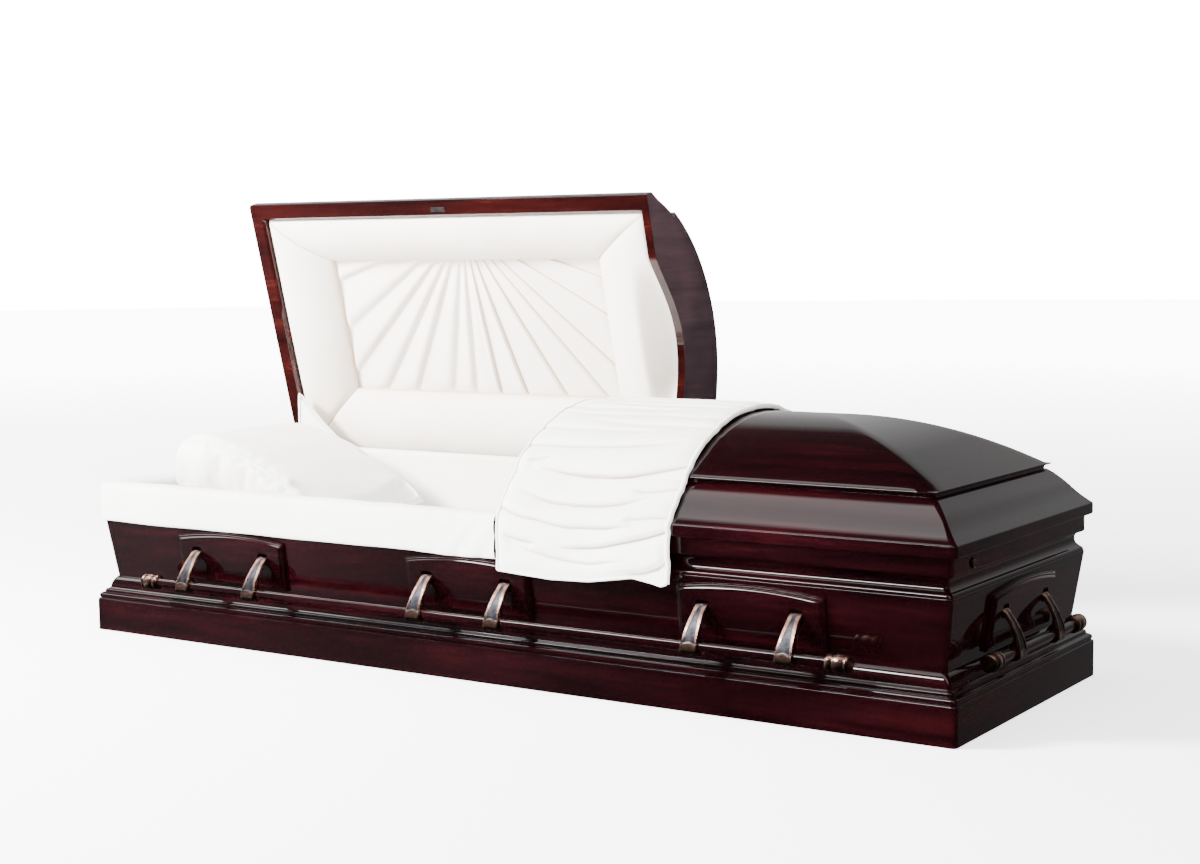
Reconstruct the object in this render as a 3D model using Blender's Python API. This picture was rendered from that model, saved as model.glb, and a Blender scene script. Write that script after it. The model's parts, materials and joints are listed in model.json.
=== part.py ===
"""Half-couch wooden funeral casket with its head lid open.

Units are metres, +Z is up, +X runs to the foot end, -Y is the front and the origin is the centre of the
underside. An "inset" is a distance inwards from the plan outline of the base. Lids are drawn closed and
then turned about their hinge line.
"""

import math

import bmesh
import bpy
from mathutils import Matrix, Vector

# Driving dimensions
LENGTH = 2.13
WIDTH = 0.70
BASE_HEIGHT = 0.073
BASE_MOULDING_HEIGHT = 0.0505
SHELL_HEIGHT = 0.1341
LEDGE_HEIGHT = 0.0699
RIM_HEIGHT = 0.0215
LID_PANEL_HEIGHT = 0.0725
CROWN_RISE = 0.105
LID_SPLIT = 0.112
LID_OPEN_ANGLE = math.radians(75.3)
HANDLE_PITCH = 0.651
ARM_SPACING = 0.197

# Edges sharper than this are shaded as edges
SHARP_ANGLE = math.radians(34)

# Clearances
TOUCH = 0.0003
LID_GAP = 0.0015
LID_SPLIT_GAP = 0.003
GROOVE_HEIGHT = 0.011

# Board thicknesses
WALL_THICKNESS = 0.020
BOARD_TOP = 0.018

# Heights that follow
SHELL_BOTTOM = BASE_HEIGHT + BASE_MOULDING_HEIGHT
SHELL_TOP = SHELL_BOTTOM + SHELL_HEIGHT
LEDGE_TOP = SHELL_TOP + LEDGE_HEIGHT
LID_BOTTOM = LEDGE_TOP + LID_GAP
PANEL_TOP = LID_BOTTOM + RIM_HEIGHT + LID_PANEL_HEIGHT
CROWN_EDGE = PANEL_TOP + GROOVE_HEIGHT
CROWN_TOP = CROWN_EDGE + CROWN_RISE

HALF_LENGTH = LENGTH / 2
HALF_WIDTH = WIDTH / 2
CORNER_RADIUS = 0.006
CORNER_STEPS = 2

# Insets of the main faces
SHELL_FOOT_INSET = 0.0343
SHELL_HEAD_INSET = 0.0165
BAND_INSET = 0.0165
INNER_WALL_INSET = 0.0545
RIM_INSET = 0.004
RIM_INNER_INSET = 0.044
CROWN_INSET = 0.070
GROOVE_INSET = 0.0785
CROWN_SEAT_INSET = 0.0985
SHELL_SLOPE = math.atan2(SHELL_FOOT_INSET - SHELL_HEAD_INSET, SHELL_TOP - SHELL_BOTTOM)

# Hinge line of both lids
HINGE_Y = HALF_WIDTH - 0.0085
HINGE_Z = LEDGE_TOP - 0.014

# Header boards that close the two lids where they meet
HEADER_THICKNESS = 0.020
HEADER_ARCH_HALF = 0.205
HEADER_ARCH_RISE = 0.065

# Lock plug at the foot end and catch under the head lid
PLUG_Y = -HALF_WIDTH + 0.106
PLUG_Z = LEDGE_TOP - 0.018
PLUG_RADIUS = 0.0075
PLUG_HOLE_RADIUS = 0.0105
PLUG_HOLE_DEPTH = 0.012
PLUG_SIDES = 16
CATCH_X = (LID_SPLIT - HALF_LENGTH) / 2 + 0.010
CATCH_INSET = 0.0265
CATCH_LENGTH = 0.040
CATCH_WIDTH = 0.011
CATCH_HEIGHT = 0.006

# Bed, lining and loose cloth
LINING_THICKNESS = 0.020
LINING_INSET = INNER_WALL_INSET + 0.0025
LINING_LOW = SHELL_BOTTOM + 0.003
LINING_TOP = SHELL_TOP - 0.0126
BACK_LINING_RISE = 0.0475
BACK_CORNER_RISE = 0.1775
BACK_LINING_TOP = LEDGE_TOP + BACK_LINING_RISE
BACK_CORNER_TOP = LEDGE_TOP + BACK_CORNER_RISE
BED_RISE = 0.0415
BED_TOP = SHELL_BOTTOM + BED_RISE
MATTRESS_THICKNESS = 0.080
MATTRESS_ROUNDING = 0.018
MATTRESS_END_GAP = 0.012
BED_SIDE_GAP = 0.0135
BED_HALF_WIDTH = HALF_WIDTH - INNER_WALL_INSET - LINING_THICKNESS - BED_SIDE_GAP
BED_FRAME_INSET = 0.020
BED_FRAME_END_GAP = 0.030
HEADREST_LENGTH = 0.545
HEADREST_X = -HALF_LENGTH + HEADREST_LENGTH
HEADREST_SLOPE = math.tan(math.radians(6.9))
BED_BOARD_THICKNESS = 0.015
BED_RAIL_WIDTH = 0.018
APRON_LOW = SHELL_TOP - 0.0046
APRON_END_X = LID_SPLIT - 0.034
APRON_CORNER = 0.008
PILLOW_HALF_WIDTH = 0.205
PILLOW_START = 0.0485
PILLOW_LENGTH = 0.432
PILLOW_THICKNESS = 0.146
PILLOW_LIFT = 0.0095

# Crowns
END_SLOPE_LENGTH = 0.36
END_SLOPE_POWER = 1.9
HIP_SHARPNESS = 12
HALF_LINES = 8
CROWN_THICKNESS = 0.015

# Pleated panel inside the head lid
PANEL_HEAD_MARGIN = 0.196
PANEL_SPLIT_MARGIN = 0.187
PANEL_FRONT_MARGIN = 0.163
PANEL_BACK_MARGIN = 0.202
PANEL_TUCK = 0.012
PANEL_LOW_X = -HALF_LENGTH + PANEL_HEAD_MARGIN
PANEL_HIGH_X = LID_SPLIT - PANEL_SPLIT_MARGIN
PANEL_FRONT_Y = -HALF_WIDTH + PANEL_FRONT_MARGIN
PANEL_BACK_Y = HALF_WIDTH - PANEL_BACK_MARGIN
PANEL_DEPTH = 0.0655
PANEL_Z = LID_BOTTOM + PANEL_DEPTH
PANEL_THICKNESS = 0.006

# Hinges along the back
KNUCKLE_RADIUS = 0.0045
KNUCKLE_SIDES = 10
LEAF_THICKNESS = 0.0016
KNUCKLE_LENGTH = 0.120
KNUCKLE_GAP = 0.0006
HINGE_MARGIN = 0.05

# Throw over the foot lid
OVERLAY_OVERHANG = 0.027
OVERLAY_LENGTH = 0.399
OVERLAY_DROP = 0.0925
OVERLAY_LOW_X = LID_SPLIT - OVERLAY_OVERHANG
OVERLAY_HIGH_X = OVERLAY_LOW_X + OVERLAY_LENGTH
OVERLAY_LOW_Z = LEDGE_TOP - OVERLAY_DROP
OVERLAY_GAP = 0.0020
OVERLAY_THICKNESS = 0.006

# Plaques and swing bars
PLAQUE_HALF_WIDTH = 0.155
PLAQUE_LOW = SHELL_BOTTOM + 0.0095
PLAQUE_CORNER = SHELL_TOP - 0.0186
PLAQUE_PEAK = SHELL_TOP - 0.0071
PLAQUE_THICKNESS = 0.012
PIVOT_INSET = 0.0165
PIVOT_Z = SHELL_TOP - 0.0561
ARM_TOP_WIDTH = 0.0225
ARM_FOOT_WIDTH = 0.0342
SLOT_HALF_WIDTH = ARM_TOP_WIDTH / 2 + 0.00375
SLOT_DOWN = 0.0130
SLOT_UP = 0.0125
SLOT_DEPTH = 0.0105
BAR_RADIUS = 0.0105
BAR_SIDES = 14
SIDE_BAR_OUT = 0.025
SIDE_BAR_Z = PIVOT_Z - 0.0695
SIDE_BAR_HALF = HANDLE_PITCH + ARM_SPACING / 2 + 0.1275
END_BAR_OUT = 0.009
END_BAR_Z = PIVOT_Z - 0.0725
END_BAR_HALF = ARM_SPACING / 2 + 0.1335
TIP_LENGTH = 0.045

# Materials: name, colour, roughness and metallic
WOOD = ("mahogany_gloss", (0.085, 0.012, 0.010), 0.12, 0.0)
RAW_WOOD = ("plain_board", (0.45, 0.30, 0.17), 0.60, 0.0)
CLOTH = ("ivory_cloth", (0.85, 0.82, 0.78), 0.90, 0.0)
COPPER = ("antique_copper", (0.33, 0.17, 0.12), 0.35, 1.0)
STEEL = ("hinge_steel", (0.40, 0.38, 0.35), 0.40, 1.0)
BLACK = ("black_catch", (0.02, 0.02, 0.02), 0.40, 0.0)


def clear_scene():
    for item in list(bpy.data.objects):
        bpy.data.objects.remove(item, do_unlink=True)


def material(spec):
    """The named Principled material, made on first use."""
    name, colour, roughness, metallic = spec
    found = bpy.data.materials.get(name)
    if found:
        return found
    made = bpy.data.materials.new(name)
    made.use_nodes = True
    shader = made.node_tree.nodes["Principled BSDF"]
    shader.inputs["Base Color"].default_value = (*colour, 1.0)
    shader.inputs["Roughness"].default_value = roughness
    shader.inputs["Metallic"].default_value = metallic
    return made


def empty(name, location):
    item = bpy.data.objects.new(name, None)
    item.location = location
    bpy.context.collection.objects.link(item)
    return item


def solid(name, points, faces, spec, parent=None, origin=(0.0, 0.0, 0.0)):
    """A closed mesh object. Points are in world space, less the origin that the object is placed at."""
    centre = Vector(origin)
    work = bmesh.new()
    made = [work.verts.new(Vector(point) - centre) for point in points]
    for face in faces:
        work.faces.new([made[index] for index in face])
    bmesh.ops.recalc_face_normals(work, faces=work.faces)
    mesh = bpy.data.meshes.new(name)
    work.to_mesh(mesh)
    work.free()
    mesh.materials.append(material(spec))
    mesh.shade_smooth()
    mesh.set_sharp_from_angle(angle=SHARP_ANGLE)
    item = bpy.data.objects.new(name, mesh)
    bpy.context.collection.objects.link(item)
    if parent is None:
        item.location = origin
    else:
        item.parent = parent
    return item


def combine(target, others, operation):
    """Bakes a Boolean of the target with each other object, which is then removed."""
    for other in others:
        step = target.modifiers.new(operation.lower(), "BOOLEAN")
        step.operation = operation
        step.solver = "EXACT"
        step.object = other
        bpy.context.view_layer.update()
        graph = bpy.context.evaluated_depsgraph_get()
        result = bpy.data.meshes.new_from_object(target.evaluated_get(graph))
        target.modifiers.remove(step)
        old = target.data
        result.name = old.name
        result.set_sharp_from_angle(angle=SHARP_ANGLE)
        target.data = result
        bpy.data.meshes.remove(old)
        bpy.data.objects.remove(other, do_unlink=True)
    return target


def copy_of(source, name, matrix, parent=None):
    """Another object with the same mesh, moved by the matrix."""
    item = bpy.data.objects.new(name, source.data)
    bpy.context.collection.objects.link(item)
    item.matrix_world = matrix
    if parent is not None:
        item.parent = parent
        item.matrix_basis = matrix
    return item


def corner_stations(sign_x, sign_y, half_x, half_y, start, end):
    """Plan stations round one corner, each a point and the way that an inset moves it."""
    stations = []
    for step in range(CORNER_STEPS + 1):
        turn = math.radians(start + (end - start) * step / CORNER_STEPS)
        x = sign_x * (half_x - CORNER_RADIUS + CORNER_RADIUS * math.cos(turn))
        y = sign_y * (half_y - CORNER_RADIUS + CORNER_RADIUS * math.sin(turn))
        stations.append((x, y, -sign_x, -sign_y))
    return stations


def ring_stations(half_x=HALF_LENGTH, half_y=HALF_WIDTH):
    stations = corner_stations(1, -1, half_x, half_y, 90, 0)
    stations += corner_stations(1, 1, half_x, half_y, 0, 90)
    stations += corner_stations(-1, 1, half_x, half_y, 90, 0)
    stations += corner_stations(-1, -1, half_x, half_y, 0, 90)
    return stations


def lid_stations(sign, open_x):
    """Front, end and back of a lid, open where the two lids meet."""
    stations = [(open_x, -HALF_WIDTH, 0, 1)]
    stations += corner_stations(sign, -1, HALF_LENGTH, HALF_WIDTH, 90, 0)
    stations += corner_stations(sign, 1, HALF_LENGTH, HALF_WIDTH, 0, 90)
    stations.append((open_x, HALF_WIDTH, 0, -1))
    return stations


def loft(loops, closed=False):
    """Points and faces of a skin over loops of equal length, closed on itself or capped at both ends."""
    count = len(loops[0])
    points = [point for loop in loops for point in loop]
    faces = []
    for here in range(0, len(points) if closed else len(points) - count, count):
        there = (here + count) % len(points)
        for index in range(count):
            after = (index + 1) % count
            faces.append((here + index, here + after, there + after, there + index))
    if not closed:
        faces.append(tuple(range(count)))
        faces.append(tuple(range(len(points) - count, len(points))))
    return points, faces


def sweep(profiles, stations, closed):
    """A profile carried round the stations. Each station may have its own profile."""
    loops = []
    for profile, (x, y, way_x, way_y) in zip(profiles, stations):
        loops.append([(x + way_x * inset, y + way_y * inset, z) for inset, z in profile])
    return loft(loops, closed)


def ring(name, profile, spec):
    stations = ring_stations()
    return solid(name, *sweep([profile] * len(stations), stations, True), spec)


def extruded(name, outline, axis, low, high, spec, **placing):
    """A flat outline carried along X or Y between two values."""
    loops = []
    for value in (low, high):
        if axis == "X":
            loops.append([(value, first, second) for first, second in outline])
        else:
            loops.append([(first, value, second) for first, second in outline])
    return solid(name, *loft(loops), spec, **placing)


def cylinder(name, axis, centre, radius, low, high, sides, spec, **placing):
    """A round bar along X or Y. The centre gives its other two coordinates."""
    outline = []
    for side in range(sides):
        turn = 2 * math.pi * (side + 0.5) / sides
        outline.append((centre[0] + radius * math.cos(turn), centre[1] + radius * math.sin(turn)))
    return extruded(name, outline, axis, low, high, spec, **placing)


def shell_inset(z):
    """Inset of the sloping side at a height."""
    part = (z - SHELL_BOTTOM) / (SHELL_TOP - SHELL_BOTTOM)
    return SHELL_FOOT_INSET + part * (SHELL_HEAD_INSET - SHELL_FOOT_INSET)


def base_moulding():
    """Plinth board, two beads and a cove that rises to the foot of the sides."""
    profile = [
        (0.0, 0.0),
        (0.0, BASE_HEIGHT - 0.0025),
        (0.0015, BASE_HEIGHT - 0.0005),
        (0.0040, BASE_HEIGHT + 0.0005),
        (0.0040, BASE_HEIGHT + 0.0025),
        (0.0025, BASE_HEIGHT + 0.0060),
        (0.0045, BASE_HEIGHT + 0.0110),
        (0.0090, BASE_HEIGHT + 0.0140),
        (0.0120, BASE_HEIGHT + 0.0145),
        (0.0120, BASE_HEIGHT + 0.0170),
        (0.0135, BASE_HEIGHT + 0.0200),
        (0.0185, BASE_HEIGHT + 0.0220),
        (0.0205, BASE_HEIGHT + 0.0255),
        (0.0230, SHELL_BOTTOM - 0.0175),
        (0.0280, SHELL_BOTTOM - 0.0095),
        (SHELL_FOOT_INSET, SHELL_BOTTOM - TOUCH),
        (INNER_WALL_INSET, SHELL_BOTTOM - TOUCH),
        (INNER_WALL_INSET, 0.0),
    ]
    ring("base_moulding", profile, WOOD)


def bottom_board():
    """A flat board that fills the base moulding, flush with its underside."""
    inset = INNER_WALL_INSET + TOUCH
    outline = [(x + way_x * inset, y + way_y * inset) for x, y, way_x, way_y in ring_stations()]
    loops = [[(x, y, z) for x, y in outline] for z in (0.0, BOARD_TOP)]
    solid("bottom_board", *loft(loops), RAW_WOOD)


def body_shell():
    """The four sloping sides, glued at mitred corners."""
    profile = [
        (SHELL_FOOT_INSET, SHELL_BOTTOM),
        (SHELL_HEAD_INSET, SHELL_TOP),
        (SHELL_HEAD_INSET + WALL_THICKNESS, SHELL_TOP),
        (SHELL_FOOT_INSET + WALL_THICKNESS, SHELL_BOTTOM),
    ]
    ring("body_shell", profile, WOOD)


def ledge_moulding():
    """Shoulder, neck and upright band that the lids close on, with the lock hole and the catch's pocket."""
    profile = [
        (SHELL_HEAD_INSET + 0.0005, SHELL_TOP + TOUCH),
        (0.0200, SHELL_TOP + 0.0060),
        (0.0250, SHELL_TOP + 0.0100),
        (0.0300, SHELL_TOP + 0.0170),
        (0.0315, SHELL_TOP + 0.0256),
        (0.0285, SHELL_TOP + 0.0325),
        (0.0225, SHELL_TOP + 0.0368),
        (BAND_INSET, SHELL_TOP + 0.0375),
        (BAND_INSET, LEDGE_TOP - 0.0013),
        (BAND_INSET + 0.0013, LEDGE_TOP),
        (INNER_WALL_INSET, LEDGE_TOP),
        (INNER_WALL_INSET, SHELL_TOP + TOUCH),
    ]
    band = ring("ledge_moulding", profile, WOOD)
    face = HALF_LENGTH - BAND_INSET
    hole_ends = (face - PLUG_HOLE_DEPTH, face + 0.01)
    hole = cylinder("hole", "X", (PLUG_Y, PLUG_Z), PLUG_HOLE_RADIUS, *hole_ends, PLUG_SIDES, WOOD)
    middle = -HALF_WIDTH + CATCH_INSET
    reach = CATCH_WIDTH / 2 + 0.002
    low = LEDGE_TOP - CATCH_HEIGHT - 0.003
    high = LEDGE_TOP + 0.01
    outline = [(middle - reach, low), (middle + reach, low), (middle + reach, high), (middle - reach, high)]
    half = CATCH_LENGTH / 2 + 0.003
    pocket = extruded("pocket", outline, "X", CATCH_X - half, CATCH_X + half, WOOD)
    combine(band, [hole, pocket], "DIFFERENCE")


def lock_plug():
    face = HALF_LENGTH - BAND_INSET
    start = face - PLUG_HOLE_DEPTH + TOUCH
    cylinder("lock_plug", "X", (PLUG_Y, PLUG_Z), PLUG_RADIUS, start, face + 0.004, PLUG_SIDES, COPPER)


def headrest(x):
    """Height that the propped head of the bed gains at x."""
    return max(HEADREST_X - x, 0.0) * HEADREST_SLOPE


def bed_frame():
    """A board on two side rails, with its head part propped up."""
    thickness = BED_BOARD_THICKNESS
    rail = BED_RAIL_WIDTH
    head = -HALF_LENGTH + INNER_WALL_INSET + LINING_THICKNESS + BED_FRAME_END_GAP
    foot = -head
    top = BED_TOP - TOUCH
    low = BOARD_TOP + TOUCH
    half = BED_HALF_WIDTH - BED_FRAME_INSET
    section = [
        (-half, low),
        (-half, top),
        (half, top),
        (half, low),
        (half - rail, low),
        (half - rail, top - thickness),
        (-half + rail, top - thickness),
        (-half + rail, low),
    ]
    loops = []
    for x in (head, HEADREST_X, foot):
        loops.append([(x, y, z + (headrest(x) if z > low else 0.0)) for y, z in section])
    solid("bed_frame", *loft(loops), RAW_WOOD)


def mattress():
    """A cushion with rounded edges that bends up at the head."""
    head = -HALF_LENGTH + INNER_WALL_INSET + LINING_THICKNESS + MATTRESS_END_GAP
    low = BED_TOP
    high = BED_TOP + MATTRESS_THICKNESS
    round_off = MATTRESS_ROUNDING
    half = BED_HALF_WIDTH
    section = [
        (-half + round_off, low),
        (-half, low + round_off),
        (-half, high - round_off),
        (-half + round_off, high),
        (half - round_off, high),
        (half, high - round_off),
        (half, low + round_off),
        (half - round_off, low),
    ]
    loops = [[(x, y, z + headrest(x)) for y, z in section] for x in (head, HEADREST_X, -head)]
    solid("mattress", *loft(loops), CLOTH)


def lining_profile(top):
    outer = LINING_INSET
    inner = LINING_INSET + LINING_THICKNESS
    return [
        (outer, LINING_LOW),
        (outer, top - 0.008),
        (outer + 0.006, top),
        (inner - 0.006, top),
        (inner, top - 0.008),
        (inner, LINING_LOW),
    ]


def body_lining():
    """Padded cloth on the inner walls. It stands up at the back, and highest at the head corner."""
    open_x = LID_SPLIT - 0.012
    slope_end = -HALF_LENGTH + INNER_WALL_INSET + 0.15
    stations = [
        (open_x, -HALF_WIDTH, 0, 1),
        (-HALF_LENGTH, -HALF_WIDTH, 1, 1),
        (-HALF_LENGTH, HALF_WIDTH - 0.012, 1, -1),
        (-HALF_LENGTH, HALF_WIDTH, 1, -1),
        (slope_end, HALF_WIDTH, 0, -1),
        (open_x, HALF_WIDTH, 0, -1),
    ]
    tops = [LINING_TOP, LINING_TOP, LINING_TOP, BACK_CORNER_TOP, BACK_LINING_TOP, BACK_LINING_TOP]
    profiles = [lining_profile(top) for top in tops]
    solid("body_lining", *sweep(profiles, stations, False), CLOTH)


def apron():
    """Cloth that comes up from inside, over the ledge and down outside, along the front and the head end."""
    profile = [
        (0.0148, APRON_LOW),
        (0.0115, APRON_LOW - 0.001),
        (0.0060, APRON_LOW + 0.012),
        (0.0045, LEDGE_TOP - 0.003),
        (0.0090, LEDGE_TOP + 0.0095),
        (0.0200, LEDGE_TOP + 0.0155),
        (0.0450, LEDGE_TOP + 0.0150),
        (0.0620, LEDGE_TOP + 0.0085),
        (0.0740, LEDGE_TOP - 0.0055),
        (0.0765, LINING_TOP + 0.0200),
        (0.0600, LINING_TOP + 0.0040),
        (0.0552, LINING_TOP + 0.0150),
        (0.0552, LEDGE_TOP + 0.0008),
        (0.0148, LEDGE_TOP + 0.0008),
    ]
    stations = [(APRON_END_X, -HALF_WIDTH, 0, 1)]
    for step in range(4):
        turn = math.radians(30 * step)
        x = -(HALF_LENGTH - APRON_CORNER + APRON_CORNER * math.sin(turn))
        y = -(HALF_WIDTH - APRON_CORNER + APRON_CORNER * math.cos(turn))
        stations.append((x, y, 1, 1))
    stations.append((-HALF_LENGTH, HALF_WIDTH - 0.092, 1, 0))
    solid("apron", *sweep([profile] * len(stations), stations, False), CLOTH)


def pillow():
    """A cushion that lies on the raised head of the mattress, thick at the head end.

    Each station holds its shares of the pillow's length, lift off the mattress, thickness and width.
    """
    wall = -HALF_LENGTH + INNER_WALL_INSET
    stations = [
        (0.000, 3.30, 0.480, 0.80),
        (0.040, 1.05, 0.884, 0.97),
        (0.190, 1.00, 1.000, 1.00),
        (0.375, 1.00, 0.952, 1.00),
        (0.606, 1.00, 0.767, 1.00),
        (0.815, 1.00, 0.500, 1.00),
        (0.954, 1.42, 0.260, 0.97),
        (1.000, 2.32, 0.110, 0.86),
    ]
    around = 16
    power = 0.45
    loops = []
    for part, lift, thick, wide in stations:
        x = wall + PILLOW_START + part * PILLOW_LENGTH
        low = BED_TOP + MATTRESS_THICKNESS + headrest(x) + lift * PILLOW_LIFT
        loop = []
        for step in range(around):
            turn = 2 * math.pi * (step + 0.5) / around
            across = math.copysign(abs(math.cos(turn)) ** power, math.cos(turn))
            up = math.copysign(abs(math.sin(turn)) ** power, math.sin(turn))
            high = low + thick * PILLOW_THICKNESS / 2 * (1 + up)
            loop.append((x, PILLOW_HALF_WIDTH * wide * across, high))
        loops.append(loop)
    solid("pillow", *loft(loops), CLOTH)


class Dome:
    """A crown surface: a round arch across and a rounded slope at the end, which meet along two hips."""

    def __init__(self, inset, low, high):
        self.inset = inset
        self.low = low
        self.high = high
        self.half = HALF_WIDTH - inset
        rise = high - low
        self.radius = (self.half**2 + rise**2) / (2 * rise)

    def side(self, y):
        """Share of the rise that the arch reaches at y."""
        drop = self.radius - math.sqrt(max(self.radius**2 - y * y, 0.0))
        return 1 - drop / (self.high - self.low)

    def end(self, run):
        part = min(run / END_SLOPE_LENGTH, 1.0)
        return 1 - (1 - part) ** END_SLOPE_POWER

    def run_at(self, share):
        """Distance from the end where the slope reaches a share of the rise."""
        return END_SLOPE_LENGTH * (1 - (1 - share) ** (1 / END_SLOPE_POWER))

    def height(self, run, y):
        drops = (1 - self.side(y)) ** HIP_SHARPNESS + (1 - self.end(run)) ** HIP_SHARPNESS
        return self.low + (self.high - self.low) * max(1 - drops ** (1 / HIP_SHARPNESS), 0.0)

    def lines(self):
        """Values of y across the crown, from front to back."""
        return [self.half * (line / HALF_LINES - 1) for line in range(2 * HALF_LINES + 1)]

    def rows(self, sign, open_x):
        """Rows of points from the end to the opening. A row stands where each hip crosses a line."""
        end_x = sign * (HALF_LENGTH - self.inset)
        runs = [self.run_at(max(self.side(y), 0.0)) for y in self.lines()[: HALF_LINES + 1]]
        rows = [[(end_x - sign * run, y, self.height(run, y)) for y in self.lines()] for run in runs]
        rows.append([(open_x, y, self.height(END_SLOPE_LENGTH, y)) for y in self.lines()])
        return rows


OUTER_DOME = Dome(CROWN_INSET, CROWN_EDGE, CROWN_TOP)
INNER_DOME = Dome(CROWN_SEAT_INSET, CROWN_EDGE - 0.0059, CROWN_TOP - CROWN_THICKNESS)


def crown(name, sign, open_x, hinge):
    """The top of a lid, with a lip that overhangs the groove below it."""
    tops = OUTER_DOME.rows(sign, open_x)
    unders = INNER_DOME.rows(sign, open_x)
    seat = INNER_DOME.low
    points = []
    faces = []

    def grid(rows):
        start = len(points)
        across = len(rows[0])
        for row in rows:
            points.extend(row)
        for row in range(len(rows) - 1):
            for line in range(across - 1):
                a = start + row * across + line
                b, c, d = a + 1, a + across + 1, a + across
                if line == row and row < HALF_LINES:
                    faces.extend([(a, b, c), (a, c, d)])
                elif line == across - 2 - row and row < HALF_LINES:
                    faces.extend([(a, b, d), (b, c, d)])
                else:
                    faces.append((a, b, c, d))
        border = [start + (len(rows) - 1 - row) * across for row in range(len(rows))]
        border += [start + line for line in range(1, across)]
        border += [start + row * across + across - 1 for row in range(1, len(rows))]
        mouth = [start + (len(rows) - 1) * across + line for line in range(across)]
        return border, mouth

    def lip(border, inset, z):
        """A copy of the top's border, moved inwards and down."""
        made = []
        reach_x = HALF_LENGTH - inset
        reach_y = HALF_WIDTH - inset
        for index in border:
            x, y, _ = points[index]
            if abs(abs(x) - (HALF_LENGTH - CROWN_INSET)) < 1e-6:
                x = sign * reach_x
            y = math.copysign(min(abs(y), reach_y), y)
            if abs(abs(points[index][1]) - OUTER_DOME.half) < 1e-6:
                y = math.copysign(reach_y, y)
            made.append(len(points))
            points.append((x, y, z))
        return made

    top_border, top_mouth = grid(tops)
    under_border, under_mouth = grid(unders)
    loops = [top_border]
    loops.append(lip(top_border, CROWN_INSET + 0.0015, CROWN_EDGE - 0.0029))
    loops.append(lip(top_border, GROOVE_INSET, CROWN_EDGE - 0.0044))
    loops.append(lip(top_border, GROOVE_INSET, seat))
    loops.append(under_border)
    for first, second in zip(loops, loops[1:]):
        for index in range(len(first) - 1):
            faces.append((first[index], first[index + 1], second[index + 1], second[index]))
    front = [loop[0] for loop in loops]
    back = [loop[-1] for loop in loops]
    for line in range(len(top_mouth) - 1):
        a, b = top_mouth[line], top_mouth[line + 1]
        c, d = under_mouth[line + 1], under_mouth[line]
        if line == 0:
            faces.append((a, b, c, *reversed(front[1:])))
        elif line == len(top_mouth) - 2:
            faces.append((a, *back, d))
        else:
            faces.append((a, b, c, d))
    return solid(name, points, faces, WOOD, parent=hinge, origin=hinge.location)


def rim_outline():
    """Outer edge of a lid from the foot of its rim up to the groove: an upright band and an ogee panel."""
    ogee = [
        (0.0, 0.0),
        (0.11, 0.10),
        (0.233, 0.224),
        (0.363, 0.376),
        (0.527, 0.582),
        (0.678, 0.752),
        (0.815, 0.889),
        (0.93, 0.979),
        (1.0, 1.0),
    ]
    start = (RIM_INSET + 0.0015, LID_BOTTOM + RIM_HEIGHT + 0.002)
    across = GROOVE_INSET - start[0]
    up = PANEL_TOP - start[1]
    outline = [(RIM_INSET, LID_BOTTOM + 0.0015), (RIM_INSET, LID_BOTTOM + RIM_HEIGHT)]
    outline += [(start[0] + across * first, start[1] + up * second) for first, second in ogee]
    outline.append((GROOVE_INSET, INNER_DOME.low - TOUCH))
    return outline


def lid_frame(name, sign, open_x, hinge):
    """Rim and lower panel of a lid, round its front, end and back."""
    seat = INNER_DOME.low - TOUCH
    profile = [(RIM_INSET + 0.0015, LID_BOTTOM)] + rim_outline()
    profile += [
        (CROWN_SEAT_INSET, seat),
        (CROWN_SEAT_INSET, PANEL_TOP - 0.0160),
        (RIM_INNER_INSET + 0.0265, PANEL_TOP - 0.0380),
        (RIM_INNER_INSET, LID_BOTTOM + RIM_HEIGHT + 0.0015),
        (RIM_INNER_INSET, LID_BOTTOM + 0.0050),
        (RIM_INNER_INSET - 0.0050, LID_BOTTOM),
    ]
    stations = lid_stations(sign, open_x)
    shape = sweep([profile] * len(stations), stations, False)
    return solid(name, *shape, WOOD, parent=hinge, origin=hinge.location)


def section_outline():
    """The lid's outer outline across the casket, from front to back, over the groove and the crown."""
    front = [(-HALF_WIDTH + inset, z) for inset, z in [(RIM_INSET + 0.0015, LID_BOTTOM)] + rim_outline()[:-1]]
    front.append((-HALF_WIDTH + GROOVE_INSET, CROWN_EDGE - 0.0044))
    front.append((-HALF_WIDTH + CROWN_INSET + 0.0015, CROWN_EDGE - 0.0029))
    arch = [(y, OUTER_DOME.height(END_SLOPE_LENGTH, y)) for y in OUTER_DOME.lines()]
    back = [(-y, z) for y, z in reversed(front)]
    return front + arch + back


def header(name, low_x, high_x, hinge):
    """Board across the open end of a lid, with an arched lower edge."""
    arch = []
    steps = 12
    for step in range(steps + 1):
        y = HEADER_ARCH_HALF * (1 - 2 * step / steps)
        arch.append((y, LID_BOTTOM + HEADER_ARCH_RISE * math.cos(math.pi / 2 * y / HEADER_ARCH_HALF) ** 1.2))
    outline = section_outline() + arch
    return extruded(name, outline, "X", low_x, high_x, WOOD, parent=hinge, origin=hinge.location)


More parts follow.
